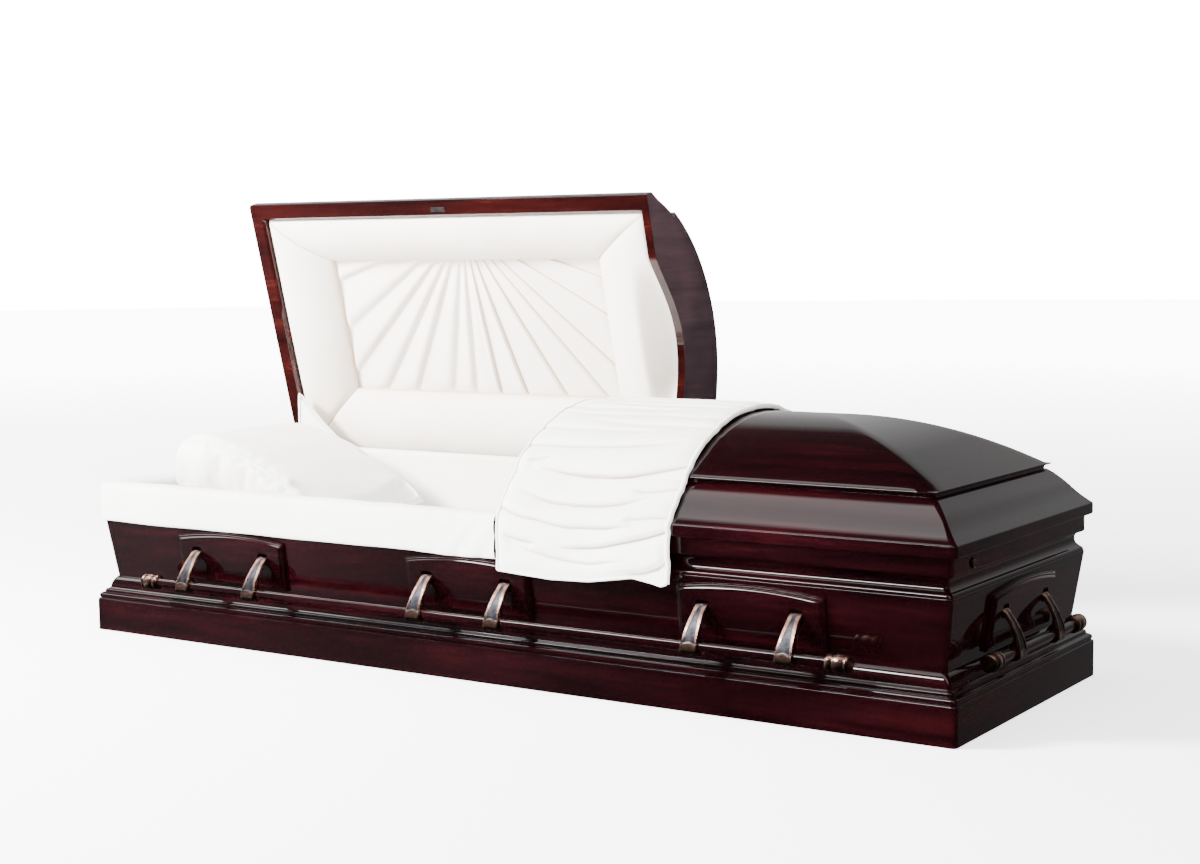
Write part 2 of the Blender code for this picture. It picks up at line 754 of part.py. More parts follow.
def lid_lining(hinge):
    """Four padded rolls, mitred at the corners, round a recessed pleated panel."""
    outer_low_x = -HALF_LENGTH + RIM_INNER_INSET + 0.003
    outer_high_x = LID_SPLIT - HEADER_THICKNESS - 0.001
    outer_y = HALF_WIDTH - RIM_INNER_INSET - 0.003
    section = [
        (0.00, 0.26),
        (0.04, 0.13),
        (0.14, 0.05),
        (0.30, 0.04),
        (0.48, 0.11),
        (0.66, 0.24),
        (0.82, 0.44),
        (0.94, 0.67),
        (1.00, 0.82),
        (1.00, 1.00),
        (0.22, 0.78),
        (0.00, 0.33),
    ]
    rings = []
    for share, depth in section:
        z = LID_BOTTOM + (PANEL_DEPTH - TOUCH) * depth
        low_x = outer_low_x + share * (PANEL_LOW_X - outer_low_x)
        high_x = outer_high_x + share * (PANEL_HIGH_X - outer_high_x)
        front = -outer_y + share * (PANEL_FRONT_Y + outer_y)
        back = outer_y + share * (PANEL_BACK_Y - outer_y)
        rings.append([(low_x, front, z), (high_x, front, z), (high_x, back, z), (low_x, back, z)])
    solid("lid_lining_rolls", *loft(rings, closed=True), CLOTH, parent=hinge, origin=hinge.location)
    margin = PANEL_TUCK
    outline = [
        (PANEL_FRONT_Y - margin, PANEL_Z),
        (PANEL_BACK_Y + margin, PANEL_Z),
        (PANEL_BACK_Y + margin, PANEL_Z + PANEL_THICKNESS),
        (PANEL_FRONT_Y - margin, PANEL_Z + PANEL_THICKNESS),
    ]
    low_x = PANEL_LOW_X - margin
    high_x = PANEL_HIGH_X + margin
    extruded("lid_lining_panel", outline, "X", low_x, high_x, CLOTH, parent=hinge, origin=hinge.location)


def lid_catch(hinge):
    """A small hook plate under the front of the head lid's rim."""
    middle = -HALF_WIDTH + CATCH_INSET
    half = CATCH_WIDTH / 2
    top = LID_BOTTOM - TOUCH
    outline = [
        (middle - half, top),
        (middle + half, top),
        (middle + half, top - 0.002),
        (middle + 0.001, top - 0.002),
        (middle + 0.001, top - CATCH_HEIGHT + 0.002),
        (middle + 0.003, top - CATCH_HEIGHT),
        (middle - 0.002, top - CATCH_HEIGHT),
        (middle - 0.002, top - 0.002),
        (middle - half, top - 0.002),
    ]
    ends = (CATCH_X - CATCH_LENGTH / 2, CATCH_X + CATCH_LENGTH / 2)
    extruded("lid_catch", outline, "X", *ends, BLACK, parent=hinge, origin=hinge.location)


def knuckle_spans(low_x, high_x, offset):
    """Every other stretch of a hinge, so that two leaves with offsets 0 and 1 mesh."""
    spans = []
    count = int((high_x - low_x) / KNUCKLE_LENGTH)
    pitch = (high_x - low_x) / count
    for index in range(offset, count, 2):
        spans.append((low_x + index * pitch + KNUCKLE_GAP, low_x + (index + 1) * pitch - KNUCKLE_GAP))
    return spans


def knuckles(spans, web):
    """The pieces that are joined to a leaf: knuckles, each with a web that reaches the leaf."""
    made = []
    for low, high in spans:
        size = (KNUCKLE_RADIUS, low, high, KNUCKLE_SIDES)
        made.append(cylinder("knuckle", "X", (HINGE_Y, HINGE_Z), *size, STEEL))
        made.append(extruded("web", web, "X", low, high, STEEL))
    return made


def hinges(head_hinge, foot_hinge, head_span, foot_span):
    """One long leaf on the back of the ledge, and a leaf on the rim of each lid."""
    band = HALF_WIDTH - BAND_INSET + TOUCH
    low = SHELL_TOP + 0.040
    outline = [(band, low), (band + LEAF_THICKNESS, low), (band + LEAF_THICKNESS, HINGE_Z), (band, HINGE_Z)]
    leaf = extruded("hinge_body_leaf", outline, "X", head_span[0], foot_span[1], STEEL)
    web = [
        (band + LEAF_THICKNESS / 2, HINGE_Z - 0.0035),
        (HINGE_Y, HINGE_Z - 0.0035),
        (HINGE_Y, HINGE_Z - 0.0010),
        (band + LEAF_THICKNESS / 2, HINGE_Z - 0.0010),
    ]
    spans = knuckle_spans(*head_span, 0) + knuckle_spans(*foot_span, 0)
    combine(leaf, knuckles(spans, web), "UNION")
    rim = HALF_WIDTH - RIM_INSET + TOUCH
    web = [
        (HINGE_Y, HINGE_Z + 0.0010),
        (rim + LEAF_THICKNESS / 2, HINGE_Z + 0.0010),
        (rim + LEAF_THICKNESS / 2, HINGE_Z + 0.0035),
        (HINGE_Y, HINGE_Z + 0.0035),
    ]
    lid_leaves = (("hinge_head_leaf", head_hinge, head_span), ("hinge_foot_leaf", foot_hinge, foot_span))
    for name, hinge, span in lid_leaves:
        low = HINGE_Z + 0.0005
        high = LID_BOTTOM + 0.018
        outline = [(rim, low), (rim + LEAF_THICKNESS, low), (rim + LEAF_THICKNESS, high), (rim, high)]
        leaf = extruded(name, outline, "X", *span, STEEL)
        combine(leaf, knuckles(knuckle_spans(*span, 1), web), "UNION")
        leaf.data.transform(Matrix.Translation(-hinge.location))
        leaf.parent = hinge


def offset_line(line, distance):
    """The open line moved to its left by a distance, seen from -X with +Y to the right."""
    moved = []
    for index, (y, z) in enumerate(line):
        before = line[max(index - 1, 0)]
        after = line[min(index + 1, len(line) - 1)]
        way = Vector((after[0] - before[0], after[1] - before[1])).normalized()
        moved.append((y - way.y * distance, z + way.x * distance))
    return moved


def overlay(hinge):
    """Gathered throw over the foot lid's head end, down in front to below the ledge."""
    lid = [(y, z) for y, z in section_outline() if not CROWN_EDGE - 0.012 < z < CROWN_EDGE - 0.001]
    front = -HALF_WIDTH + RIM_INSET
    lid = [(front, OVERLAY_LOW_Z), (front, LEDGE_TOP)] + lid[2:]
    last = max(index for index, (y, z) in enumerate(lid) if z > LID_BOTTOM + 0.05)
    lid = lid[: last + 1]
    outline = offset_line(lid, OVERLAY_GAP + OVERLAY_THICKNESS)
    outline += list(reversed(offset_line(lid, OVERLAY_GAP)))
    ends = (OVERLAY_LOW_X, OVERLAY_HIGH_X)
    extruded("overlay", outline, "X", *ends, CLOTH, parent=hinge, origin=hinge.location)


def lids():
    head_hinge = empty("head_lid_axis", (0.0, HINGE_Y, HINGE_Z))
    foot_hinge = empty("foot_lid_axis", (0.0, HINGE_Y, HINGE_Z))
    head_x = LID_SPLIT - HEADER_THICKNESS - TOUCH
    foot_x = LID_SPLIT + LID_SPLIT_GAP + HEADER_THICKNESS + TOUCH
    lid_frame("head_lid_frame", -1, head_x, head_hinge)
    crown("head_lid_crown", -1, head_x, head_hinge)
    header("head_lid_header", LID_SPLIT - HEADER_THICKNESS, LID_SPLIT, head_hinge)
    lid_lining(head_hinge)
    lid_catch(head_hinge)
    lid_frame("foot_lid_frame", 1, foot_x, foot_hinge)
    crown("foot_lid_crown", 1, foot_x, foot_hinge)
    header("foot_lid_header", LID_SPLIT + LID_SPLIT_GAP, foot_x - TOUCH, foot_hinge)
    overlay(foot_hinge)
    head_span = (-HALF_LENGTH + HINGE_MARGIN, LID_SPLIT - HINGE_MARGIN)
    foot_span = (LID_SPLIT + HINGE_MARGIN, HALF_LENGTH - HINGE_MARGIN)
    hinges(head_hinge, foot_hinge, head_span, foot_span)
    head_hinge.rotation_euler = (-LID_OPEN_ANGLE, 0.0, 0.0)


def plaque_outline(shrink):
    """The arched board's outline, drawn in by a distance."""
    half = PLAQUE_HALF_WIDTH - shrink
    low = PLAQUE_LOW + shrink
    steps = 8
    outline = [(-half, low), (half, low)]
    for step in range(steps + 1):
        across = 1 - 2 * step / steps
        rise = (PLAQUE_PEAK - PLAQUE_CORNER) * (1 - across * across)
        outline.append((half * across, PLAQUE_CORNER + rise - shrink))
    return outline


def plaque(name):
    """An arched board with a stepped edge and two slots, drawn on the front side at x = 0."""
    layers = [(0.0, TOUCH), (0.0, 0.0065), (0.0040, 0.0085), (0.0060, 0.0085), (0.0090, PLAQUE_THICKNESS)]
    loops = []
    for shrink, out in layers:
        forward = out * math.cos(SHELL_SLOPE)
        down = out * math.sin(SHELL_SLOPE)
        outline = plaque_outline(shrink)
        loops.append([(x, -HALF_WIDTH + shell_inset(z) - forward, z - down) for x, z in outline])
    board = solid(name, *loft(loops), WOOD)
    face_y = -HALF_WIDTH + shell_inset(PIVOT_Z) - PLAQUE_THICKNESS
    half = SLOT_HALF_WIDTH
    slot = [(-half, -SLOT_DOWN), (half, -SLOT_DOWN), (half, SLOT_UP / 2)]
    slot += [(0.7 * half, SLOT_UP), (-0.7 * half, SLOT_UP), (-half, SLOT_UP / 2)]
    cutters = []
    for side in (-1, 1):
        outline = [(side * ARM_SPACING / 2 + x, PIVOT_Z + z) for x, z in slot]
        cutters.append(extruded("slot", outline, "Y", face_y - 0.01, face_y + SLOT_DEPTH, WOOD))
    return combine(board, cutters, "DIFFERENCE")


def arm(name, bar_out, bar_z):
    """One swing arm on the front side at x = 0: a bowed strap that widens to a collar round the bar."""
    pivot = Vector((-PIVOT_INSET, PIVOT_Z))
    down = Vector((bar_out, bar_z)) - pivot
    reach = down.length
    along = down / reach
    outward = Vector((-along.y, along.x))
    shape = [
        (-0.055, 0.0015),
        (-0.035, 0.0045),
        (0.040, 0.0072),
        (0.160, 0.0085),
        (0.320, 0.0095),
        (0.500, 0.0108),
        (0.680, 0.0128),
        (0.850, 0.0148),
        (0.980, 0.0155),
        (1.090, 0.0140),
        (1.170, 0.0100),
        (1.215, 0.0030),
        (1.200, -0.0050),
        (1.130, -0.0110),
        (1.000, -0.0145),
        (0.880, -0.0120),
        (0.800, -0.0050),
        (0.720, 0.0030),
        (0.550, 0.0045),
        (0.350, 0.0030),
        (0.180, 0.0010),
        (0.070, -0.0025),
        (0.020, -0.0042),
        (-0.040, -0.0030),
    ]
    loops = []
    for side in (-1, 1):
        loop = []
        for part, off in shape:
            spot = pivot + along * part * reach + outward * off
            half = ARM_TOP_WIDTH / 2 + (ARM_FOOT_WIDTH - ARM_TOP_WIDTH) / 2 * part
            loop.append((side * half, -HALF_WIDTH - spot.x, spot.y))
        loops.append(loop)
    strap = solid(name, *loft(loops), COPPER)
    centre = (-HALF_WIDTH - bar_out, bar_z)
    hole = cylinder("hole", "X", centre, BAR_RADIUS + TOUCH, -0.05, 0.05, BAR_SIDES, COPPER)
    combine(strap, [hole], "DIFFERENCE")
    strap.data.transform(Matrix.Translation(-pivot_point()))
    return strap


def pivot_point():
    """The front handle's swing axis, at x = 0."""
    return Vector((0.0, -HALF_WIDTH + PIVOT_INSET, PIVOT_Z))


def bar_centre(bar_out, bar_z):
    """Middle of the front bar, from its swing axis."""
    return Vector((0.0, -HALF_WIDTH - bar_out, bar_z)) - pivot_point()


def tip(name, bar_out, bar_z):
    """A ringed cap at the +X end of a bar, drawn with its inner face at x = 0."""
    profile = [
        (0.0, 0.0162),
        (0.0100, 0.0168),
        (0.0120, 0.0148),
        (0.0150, 0.0148),
        (0.0165, 0.0172),
        (0.0380, 0.0172),
        (TIP_LENGTH, 0.0135),
    ]
    centre = bar_centre(bar_out, bar_z)
    turns = [2 * math.pi * (side + 0.5) / BAR_SIDES for side in range(BAR_SIDES)]
    circle = [(math.cos(turn), math.sin(turn)) for turn in turns]
    loops = []
    for x, radius in profile:
        loops.append([(x, centre.y + radius * across, centre.z + radius * up) for across, up in circle])
    return solid(name, *loft(loops), COPPER)


def bar(name, bar_out, bar_z, half_length):
    centre = bar_centre(bar_out, bar_z)
    reach = half_length - TIP_LENGTH - TOUCH
    return cylinder(name, "X", (centre.y, centre.z), BAR_RADIUS, -reach, reach, BAR_SIDES, WOOD)


def turned(angle, shift=(0.0, 0.0, 0.0)):
    """Turn about the casket's upright centre line, after a shift."""
    return Matrix.Rotation(angle, 4, "Z") @ Matrix.Translation(shift)


def handle(side, angle, away, sizes, centres, parts):
    """One swing bar with its arms and tips, on the side that the angle turns the front to."""
    bar_out, bar_z, half_length = sizes
    strap, cap, rod = parts
    axis = empty(f"{side}_handle_axis", (0.0, 0.0, 0.0))
    axis.matrix_world = turned(angle, pivot_point() + Vector((0.0, -away, 0.0)))
    places = [middle + step * ARM_SPACING for middle in centres for step in (-0.5, 0.5)]
    for number, x in enumerate(places, 1):
        copy_of(strap, f"{side}_arm_{number}", Matrix.Translation((x, 0, 0)), axis)
    inner = half_length - TIP_LENGTH
    centre = bar_centre(bar_out, bar_z)
    half_turn = Matrix.Translation(centre) @ Matrix.Rotation(math.pi, 4, "Z") @ Matrix.Translation(-centre)
    copy_of(cap, f"{side}_tip_1", Matrix.Translation((-inner, 0, 0)) @ half_turn, axis)
    copy_of(cap, f"{side}_tip_2", Matrix.Translation((inner, 0, 0)), axis)
    rod.name = f"{side}_bar"
    rod.parent = axis


def handles():
    """Swing bars and plaques on the four sides."""
    sides = (
        ("front", 0.0, 0.0, (SIDE_BAR_OUT, SIDE_BAR_Z, SIDE_BAR_HALF)),
        ("back", math.pi, 0.0, (SIDE_BAR_OUT, SIDE_BAR_Z, SIDE_BAR_HALF)),
        ("foot", math.pi / 2, HALF_LENGTH - HALF_WIDTH, (END_BAR_OUT, END_BAR_Z, END_BAR_HALF)),
        ("head", -math.pi / 2, HALF_LENGTH - HALF_WIDTH, (END_BAR_OUT, END_BAR_Z, END_BAR_HALF)),
    )
    board = plaque("plaque_pattern")
    for side, angle, away, sizes in sides:
        long_side = away == 0.0
        centres = (-HANDLE_PITCH, 0.0, HANDLE_PITCH) if long_side else (0.0,)
        strap = arm(f"{side}_arm_pattern", *sizes[:2])
        cap = tip(f"{side}_tip_pattern", *sizes[:2])
        rod = bar(f"{side}_bar", *sizes)
        handle(side, angle, away, sizes, centres, (strap, cap, rod))
        for number, centre in enumerate(centres, 1):
            name = f"{side}_plaque_{number}" if long_side else f"{side}_plaque"
            copy_of(board, name, turned(angle, (centre, -away, 0.0)))
        for pattern in (strap, cap):
            bpy.data.objects.remove(pattern, do_unlink=True)
    bpy.data.objects.remove(board, do_unlink=True)


def build():
    clear_scene()
    base_moulding()
    bottom_board()
    body_shell()
    ledge_moulding()
    lock_plug()
    bed_frame()
    mattress()
    body_lining()
    apron()
    pillow()
    lids()
    handles()


build()
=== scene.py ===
"""Looks of the half-couch casket: finishes, cloth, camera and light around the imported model.

Units are metres, +X is the foot end, -Y the front and +Z up. An "inset" is a distance inwards from the plan
outline of the base. Pieces of the head lid are drawn closed and then opened about the hinge line.
"""

import json
import math

import bmesh
import bpy
import numpy as np
from mathutils import Matrix, Vector, noise


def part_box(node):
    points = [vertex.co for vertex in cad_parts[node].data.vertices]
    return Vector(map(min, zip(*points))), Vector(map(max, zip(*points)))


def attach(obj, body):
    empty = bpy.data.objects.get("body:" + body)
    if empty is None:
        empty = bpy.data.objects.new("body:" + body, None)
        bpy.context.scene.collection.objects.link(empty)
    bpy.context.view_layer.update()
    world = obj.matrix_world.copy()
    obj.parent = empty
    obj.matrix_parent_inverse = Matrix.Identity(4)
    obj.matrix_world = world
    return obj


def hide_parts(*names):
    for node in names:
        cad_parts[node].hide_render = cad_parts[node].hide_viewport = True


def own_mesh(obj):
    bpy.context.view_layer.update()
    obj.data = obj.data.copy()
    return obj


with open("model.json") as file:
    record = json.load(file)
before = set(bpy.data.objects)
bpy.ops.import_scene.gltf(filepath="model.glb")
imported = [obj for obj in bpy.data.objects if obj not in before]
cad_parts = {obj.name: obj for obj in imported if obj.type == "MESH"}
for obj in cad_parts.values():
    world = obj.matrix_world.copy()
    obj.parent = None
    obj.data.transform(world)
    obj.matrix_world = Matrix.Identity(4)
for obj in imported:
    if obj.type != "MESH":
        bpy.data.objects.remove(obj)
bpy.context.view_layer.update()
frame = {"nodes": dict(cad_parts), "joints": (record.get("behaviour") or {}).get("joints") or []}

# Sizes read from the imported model
HALF_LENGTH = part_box("base_moulding")[1].x
HALF_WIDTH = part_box("base_moulding")[1].y
SHELL_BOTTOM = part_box("body_shell")[0].z
SHELL_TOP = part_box("body_shell")[1].z
LEDGE_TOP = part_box("ledge_moulding")[1].z
LID_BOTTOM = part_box("foot_lid_frame")[0].z
CROWN_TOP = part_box("foot_lid_crown")[1].z
LID_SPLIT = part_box("head_lid_header")[1].x
FOOT_HEADER_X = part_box("foot_lid_header")[0].x
HEADER_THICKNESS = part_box("foot_lid_header")[1].x - FOOT_HEADER_X
HEAD_HINGE = next(joint for joint in frame["joints"] if joint["name"] == "head_lid_hinge")
HINGE = Vector(HEAD_HINGE["pos_m"])
LID_OPEN_ANGLE = math.radians(HEAD_HINGE["range_deg"][1])

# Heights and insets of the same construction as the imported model. TOUCH is the gap where pieces meet.
TOUCH = 0.0003
BASE_HEIGHT = SHELL_BOTTOM - 0.0505
RIM_HEIGHT = 0.0215
PANEL_TOP = LID_BOTTOM + RIM_HEIGHT + 0.0725
CROWN_EDGE = PANEL_TOP + 0.011
WALL_THICKNESS = 0.020
SHELL_FOOT_INSET = 0.0343
SHELL_HEAD_INSET = 0.0165
BAND_INSET = 0.0165
INNER_WALL_INSET = 0.0545
RIM_INSET = 0.004
RIM_INNER_INSET = 0.044
CROWN_INSET = 0.070
GROOVE_INSET = 0.0785
CROWN_SEAT_INSET = 0.0985
CORNER_RADIUS = 0.009
CORNER_STEPS = 5
SHELL_SLOPE = math.atan2(SHELL_FOOT_INSET - SHELL_HEAD_INSET, SHELL_TOP - SHELL_BOTTOM)

# Crowns
END_SLOPE_LENGTH = 0.36
END_SLOPE_POWER = 1.9
HIP_SHARPNESS = 12
CROWN_THICKNESS = 0.015
CROWN_LINES = 40

# Headers
HEADER_ARCH_HALF = 0.205
HEADER_ARCH_RISE = 0.065

# Bed and cloth
LINING_INSET = INNER_WALL_INSET + 0.0025
LINING_THICKNESS = 0.020
LINING_LOW = SHELL_BOTTOM + 0.003
LINING_TOP = SHELL_TOP - 0.0126
BACK_LINING_TOP = LEDGE_TOP + 0.0475
BACK_CORNER_TOP = LEDGE_TOP + 0.1775
BED_TOP = SHELL_BOTTOM + 0.0415
MATTRESS_THICKNESS = 0.080
BED_HALF_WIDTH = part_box("mattress")[1].y
HEADREST_X = -HALF_LENGTH + 0.545
HEADREST_SLOPE = math.tan(math.radians(6.9))
APRON_LOW = SHELL_TOP - 0.0046
APRON_END_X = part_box("apron")[1].x
PILLOW_HALF_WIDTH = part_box("pillow")[1].y

# Pleated panel inside the head lid
PANEL_LOW_X = -HALF_LENGTH + 0.196
PANEL_HIGH_X = LID_SPLIT - 0.187
PANEL_FRONT_Y = -HALF_WIDTH + 0.163
PANEL_BACK_Y = HALF_WIDTH - 0.202
PANEL_DEPTH = 0.0655

# Throw over the foot lid
THROW_LOW_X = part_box("overlay")[0].x + 0.010
THROW_HIGH_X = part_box("overlay")[1].x
THROW_LOW_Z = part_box("overlay")[0].z

# Lock plug
PLUG_Y = -HALF_WIDTH + 0.106
PLUG_Z = LEDGE_TOP - 0.018
PLUG_HOLE_RADIUS = 0.0105
PLUG_HOLE_DEPTH = 0.012

# Plaques and swing bars
HANDLE_PITCH = 0.651
ARM_SPACING = 0.197
PLAQUE_HALF_WIDTH = 0.155
PLAQUE_LOW = SHELL_BOTTOM + 0.0095
PLAQUE_CORNER = SHELL_TOP - 0.0186
PLAQUE_PEAK = SHELL_TOP - 0.0071
PLAQUE_THICKNESS = 0.012
PIVOT_INSET = 0.0165
PIVOT_Z = SHELL_TOP - 0.0561
ARM_TOP_WIDTH = 0.0225
ARM_FOOT_WIDTH = 0.0342
ARM_BOW = 0.0055
SLOT_HALF_WIDTH = ARM_TOP_WIDTH / 2 + 0.00375
SLOT_DOWN = 0.0130
SLOT_UP = 0.0125
SLOT_DEPTH = 0.0105
BAR_RADIUS = 0.0105
TIP_LENGTH = 0.045
SIDE_BAR_OUT = 0.025
SIDE_BAR_Z = PIVOT_Z - 0.0695
SIDE_BAR_PAST_ARM = 0.1275
END_BAR_OUT = 0.009
END_BAR_Z = PIVOT_Z - 0.0725
END_BAR_PAST_ARM = 0.1335

# Camera fitted to the photograph: its place, its yaw, pitch and roll in degrees, and its lens in millimetres
CAMERA_PLACE = (2.3885, -3.4500, 0.8643)
CAMERA_TURNS = (-33.4986, -5.3160, -0.5609)
CAMERA_LENS = 58.89


# Shading helpers

def new_material(name, colour, roughness, metallic=0.0):
    """A Principled material, its node tree and its shader."""
    made = bpy.data.materials.new(name)
    made.use_nodes = True
    tree = made.node_tree
    shader = tree.nodes["Principled BSDF"]
    shader.inputs["Base Color"].default_value = (*colour, 1.0)
    shader.inputs["Roughness"].default_value = roughness
    shader.inputs["Metallic"].default_value = metallic
    return made, tree, shader


def node(tree, kind, **settings):
    made = tree.nodes.new(kind)
    for key, value in settings.items():
        if key in made.inputs:
            made.inputs[key].default_value = value
        else:
            setattr(made, key, value)
    return made


def noise_node(tree, vector, scale, detail, roughness, distortion=0.0):
    settings = {"Scale": scale, "Detail": detail, "Roughness": roughness, "Distortion": distortion}
    made = node(tree, "ShaderNodeTexNoise", **settings)
    tree.links.new(vector, made.inputs["Vector"])
    return made.outputs["Fac"]


def ramp(tree, value, stops):
    """A colour ramp. Each stop is a place and a colour."""
    made = node(tree, "ShaderNodeValToRGB")
    elements = made.color_ramp.elements
    while len(elements) < len(stops):
        elements.new(0.5)
    for element, (place, colour) in zip(elements, stops):
        element.position = place
        element.color = (*colour, 1.0)
    tree.links.new(value, made.inputs["Fac"])
    return made.outputs["Color"]


def maths(tree, operation, first, second=None):
    made = node(tree, "ShaderNodeMath", operation=operation)
    for index, value in enumerate((first, second)):
        if value is None:
            continue
        if isinstance(value, (int, float)):
            made.inputs[index].default_value = value
        else:
            tree.links.new(value, made.inputs[index])
    return made.outputs[0]


def mix_colour(tree, factor, first, second, blend="MIX"):
    made = node(tree, "ShaderNodeMix", data_type="RGBA", blend_type=blend)
    for socket, value in ((made.inputs[0], factor), (made.inputs[6], first), (made.inputs[7], second)):
        if isinstance(value, (int, float)):
            socket.default_value = value
        elif isinstance(value, tuple):
            socket.default_value = (*value, 1.0)
        else:
            tree.links.new(value, socket)
    return made.outputs[2]


def stretched(tree, scale):
    """Object coordinates, scaled by axis."""
    place = node(tree, "ShaderNodeTexCoord")
    mapping = node(tree, "ShaderNodeMapping", Scale=scale)
    tree.links.new(place.outputs["Object"], mapping.inputs["Vector"])
    return mapping.outputs["Vector"]


def even_noise(tree, scale, detail, roughness):
    """Noise over the object, of one scale or of a scale for each axis."""
    if not isinstance(scale, tuple):
        scale = (scale, scale, scale)
    return noise_node(tree, stretched(tree, scale), 1.0, detail, roughness)


def bump(tree, shader, height, strength, distance, socket="Normal"):
    made = node(tree, "ShaderNodeBump", Strength=strength, Distance=distance)
    tree.links.new(height, made.inputs["Height"])
    tree.links.new(made.outputs["Normal"], shader.inputs[socket])


# Materials

def grain_value(tree, scale):
    """Long figure lines with a finer streak in them, along the axis that the scale leaves short."""
    vector = stretched(tree, scale)
    figure = noise_node(tree, vector, 1.0, 5.0, 0.62, 0.7)
    streak = noise_node(tree, vector, 5.5, 3.0, 0.6, 0.2)
    return maths(tree, "ADD", maths(tree, "MULTIPLY", figure, 0.68), maths(tree, "MULTIPLY", streak, 0.32))


def wood_material(name, dark, middle, light, coat, roughness):
    """Stained and lacquered mahogany. The grain follows each side, and turns on the ends."""
    made, tree, shader = new_material(name, middle, roughness)
    along_x = grain_value(tree, (1.6, 26.0, 26.0))
    along_y = grain_value(tree, (26.0, 1.6, 26.0))
    normal = node(tree, "ShaderNodeSeparateXYZ")
    place = node(tree, "ShaderNodeTexCoord")
    tree.links.new(place.outputs["Normal"], normal.inputs[0])
    size_x = maths(tree, "ABSOLUTE", normal.outputs[0])
    size_y = maths(tree, "ABSOLUTE", normal.outputs[1])
    is_end = maths(tree, "GREATER_THAN", maths(tree, "SUBTRACT", size_x, size_y), 0.04)
    mixed = node(tree, "ShaderNodeMix", data_type="FLOAT")
    tree.links.new(is_end, mixed.inputs[0])
    tree.links.new(along_x, mixed.inputs[2])
    tree.links.new(along_y, mixed.inputs[3])
    grain = mixed.outputs[0]
    stain = noise_node(tree, stretched(tree, (1.0, 2.2, 2.2)), 2.4, 2.0, 0.5)
    figure = ramp(tree, grain, [(0.33, dark), (0.52, middle), (0.70, light)])
    clouds = ramp(tree, stain, [(0.36, (0.62, 0.58, 0.60)), (0.64, (1.16, 1.04, 1.00))])
    colour = mix_colour(tree, 1.0, figure, clouds, "MULTIPLY")
    tree.links.new(colour, shader.inputs["Base Color"])
    ripple = noise_node(tree, stretched(tree, (3.0, 3.0, 3.0)), 2.2, 2.0, 0.5)
    bump(tree, shader, ripple, 0.12, 0.0010, "Coat Normal")
    pores = even_noise(tree, (60.0, 420.0, 420.0), 2.0, 0.5)
    bump(tree, shader, pores, 0.12, 0.0004)
    shader.inputs["Specular IOR Level"].default_value = 0.03
    shader.inputs["Coat Weight"].default_value = coat
    shader.inputs["Coat Roughness"].default_value = 0.035
    shader.inputs["Coat IOR"].default_value = 1.5
    return made


def board_material():
    """Bare light board under the casket and inside the bed."""
    made, tree, shader = new_material("plain_board", (0.42, 0.27, 0.15), 0.62)
    grain = grain_value(tree, (2.0, 34.0, 34.0))
    stops = [(0.32, (0.25, 0.14, 0.07)), (0.55, (0.42, 0.27, 0.15)), (0.75, (0.55, 0.39, 0.24))]
    colour = ramp(tree, grain, stops)
    tree.links.new(colour, shader.inputs["Base Color"])
    bump(tree, shader, grain, 0.25, 0.0008)
    return made


def cloth_material(name, light, shade, crease):
    """Ivory crepe: a fine two-way weave, a faint cloud, and a warmer, darker colour in the creases that is
    painted shade.
    """
    made, tree, shader = new_material(name, light, 0.78)
    cloud = even_noise(tree, 5.0, 3.0, 0.5)
    colour = ramp(tree, cloud, [(0.35, shade), (0.62, light)])
    # The crease value mixes in the third colour: painted shade in creases and seams.
    painted = node(tree, "ShaderNodeAttribute", attribute_name="crease")
    colour = mix_colour(tree, painted.outputs["Fac"], colour, crease)
    tree.links.new(colour, shader.inputs["Base Color"])
    threads = []
    for scale in ((1300.0, 260.0, 260.0), (260.0, 1300.0, 1300.0)):
        threads.append(even_noise(tree, scale, 1.0, 0.5))
    height = maths(tree, "ADD", *threads)
    slub = even_noise(tree, 90.0, 2.0, 0.6)
    height = maths(tree, "ADD", height, maths(tree, "MULTIPLY", slub, 0.8))
    bump(tree, shader, height, 0.32, 0.0005)
    shader.inputs["Specular IOR Level"].default_value = 0.28
    shader.inputs["Sheen Weight"].default_value = 0.25
    shader.inputs["Sheen Roughness"].default_value = 0.5
    return made


def copper_material():
    """Cast metal with an antique copper finish, dark in patches and rubbed bright in others."""
    made, tree, shader = new_material("antique_copper", (0.40, 0.24, 0.18), 0.3, 1.0)
    patina = even_noise(tree, 70.0, 4.0, 0.6)
    stops = [(0.34, (0.20, 0.10, 0.075)), (0.55, (0.46, 0.27, 0.21)), (0.74, (0.74, 0.55, 0.48))]
    colour = ramp(tree, patina, stops)
    tree.links.new(colour, shader.inputs["Base Color"])
    dull = ramp(tree, patina, [(0.3, (0.42, 0.42, 0.42)), (0.8, (0.20, 0.20, 0.20))])
    tree.links.new(dull, shader.inputs["Roughness"])
    bump(tree, shader, patina, 0.12, 0.0006)
    return made


def silver_material():
    """Brushed pewter-coloured face of the arms, brushed along its length."""
    made, tree, shader = new_material("brushed_pewter", (0.12, 0.12, 0.13), 0.42, 1.0)
    lines = even_noise(tree, (2600.0, 2600.0, 40.0), 2.0, 0.6)
    cloud = even_noise(tree, 60.0, 2.0, 0.5)
    colour = ramp(tree, cloud, [(0.35, (0.035, 0.035, 0.042)), (0.68, (0.11, 0.11, 0.125))])
    tree.links.new(colour, shader.inputs["Base Color"])
    bump(tree, shader, lines, 0.22, 0.0002)
    return made


def plain_metal(name, colour, roughness, metallic):
    made, tree, shader = new_material(name, colour, roughness, metallic)
    wear = even_noise(tree, 120.0, 3.0, 0.6)
    low = tuple(0.6 * part for part in colour)
    high = tuple(min(1.3 * part + 0.01, 1.0) for part in colour)
    tree.links.new(ramp(tree, wear, [(0.3, low), (0.7, high)]), shader.inputs["Base Color"])
    bump(tree, shader, wear, 0.1, 0.0004)
    return made


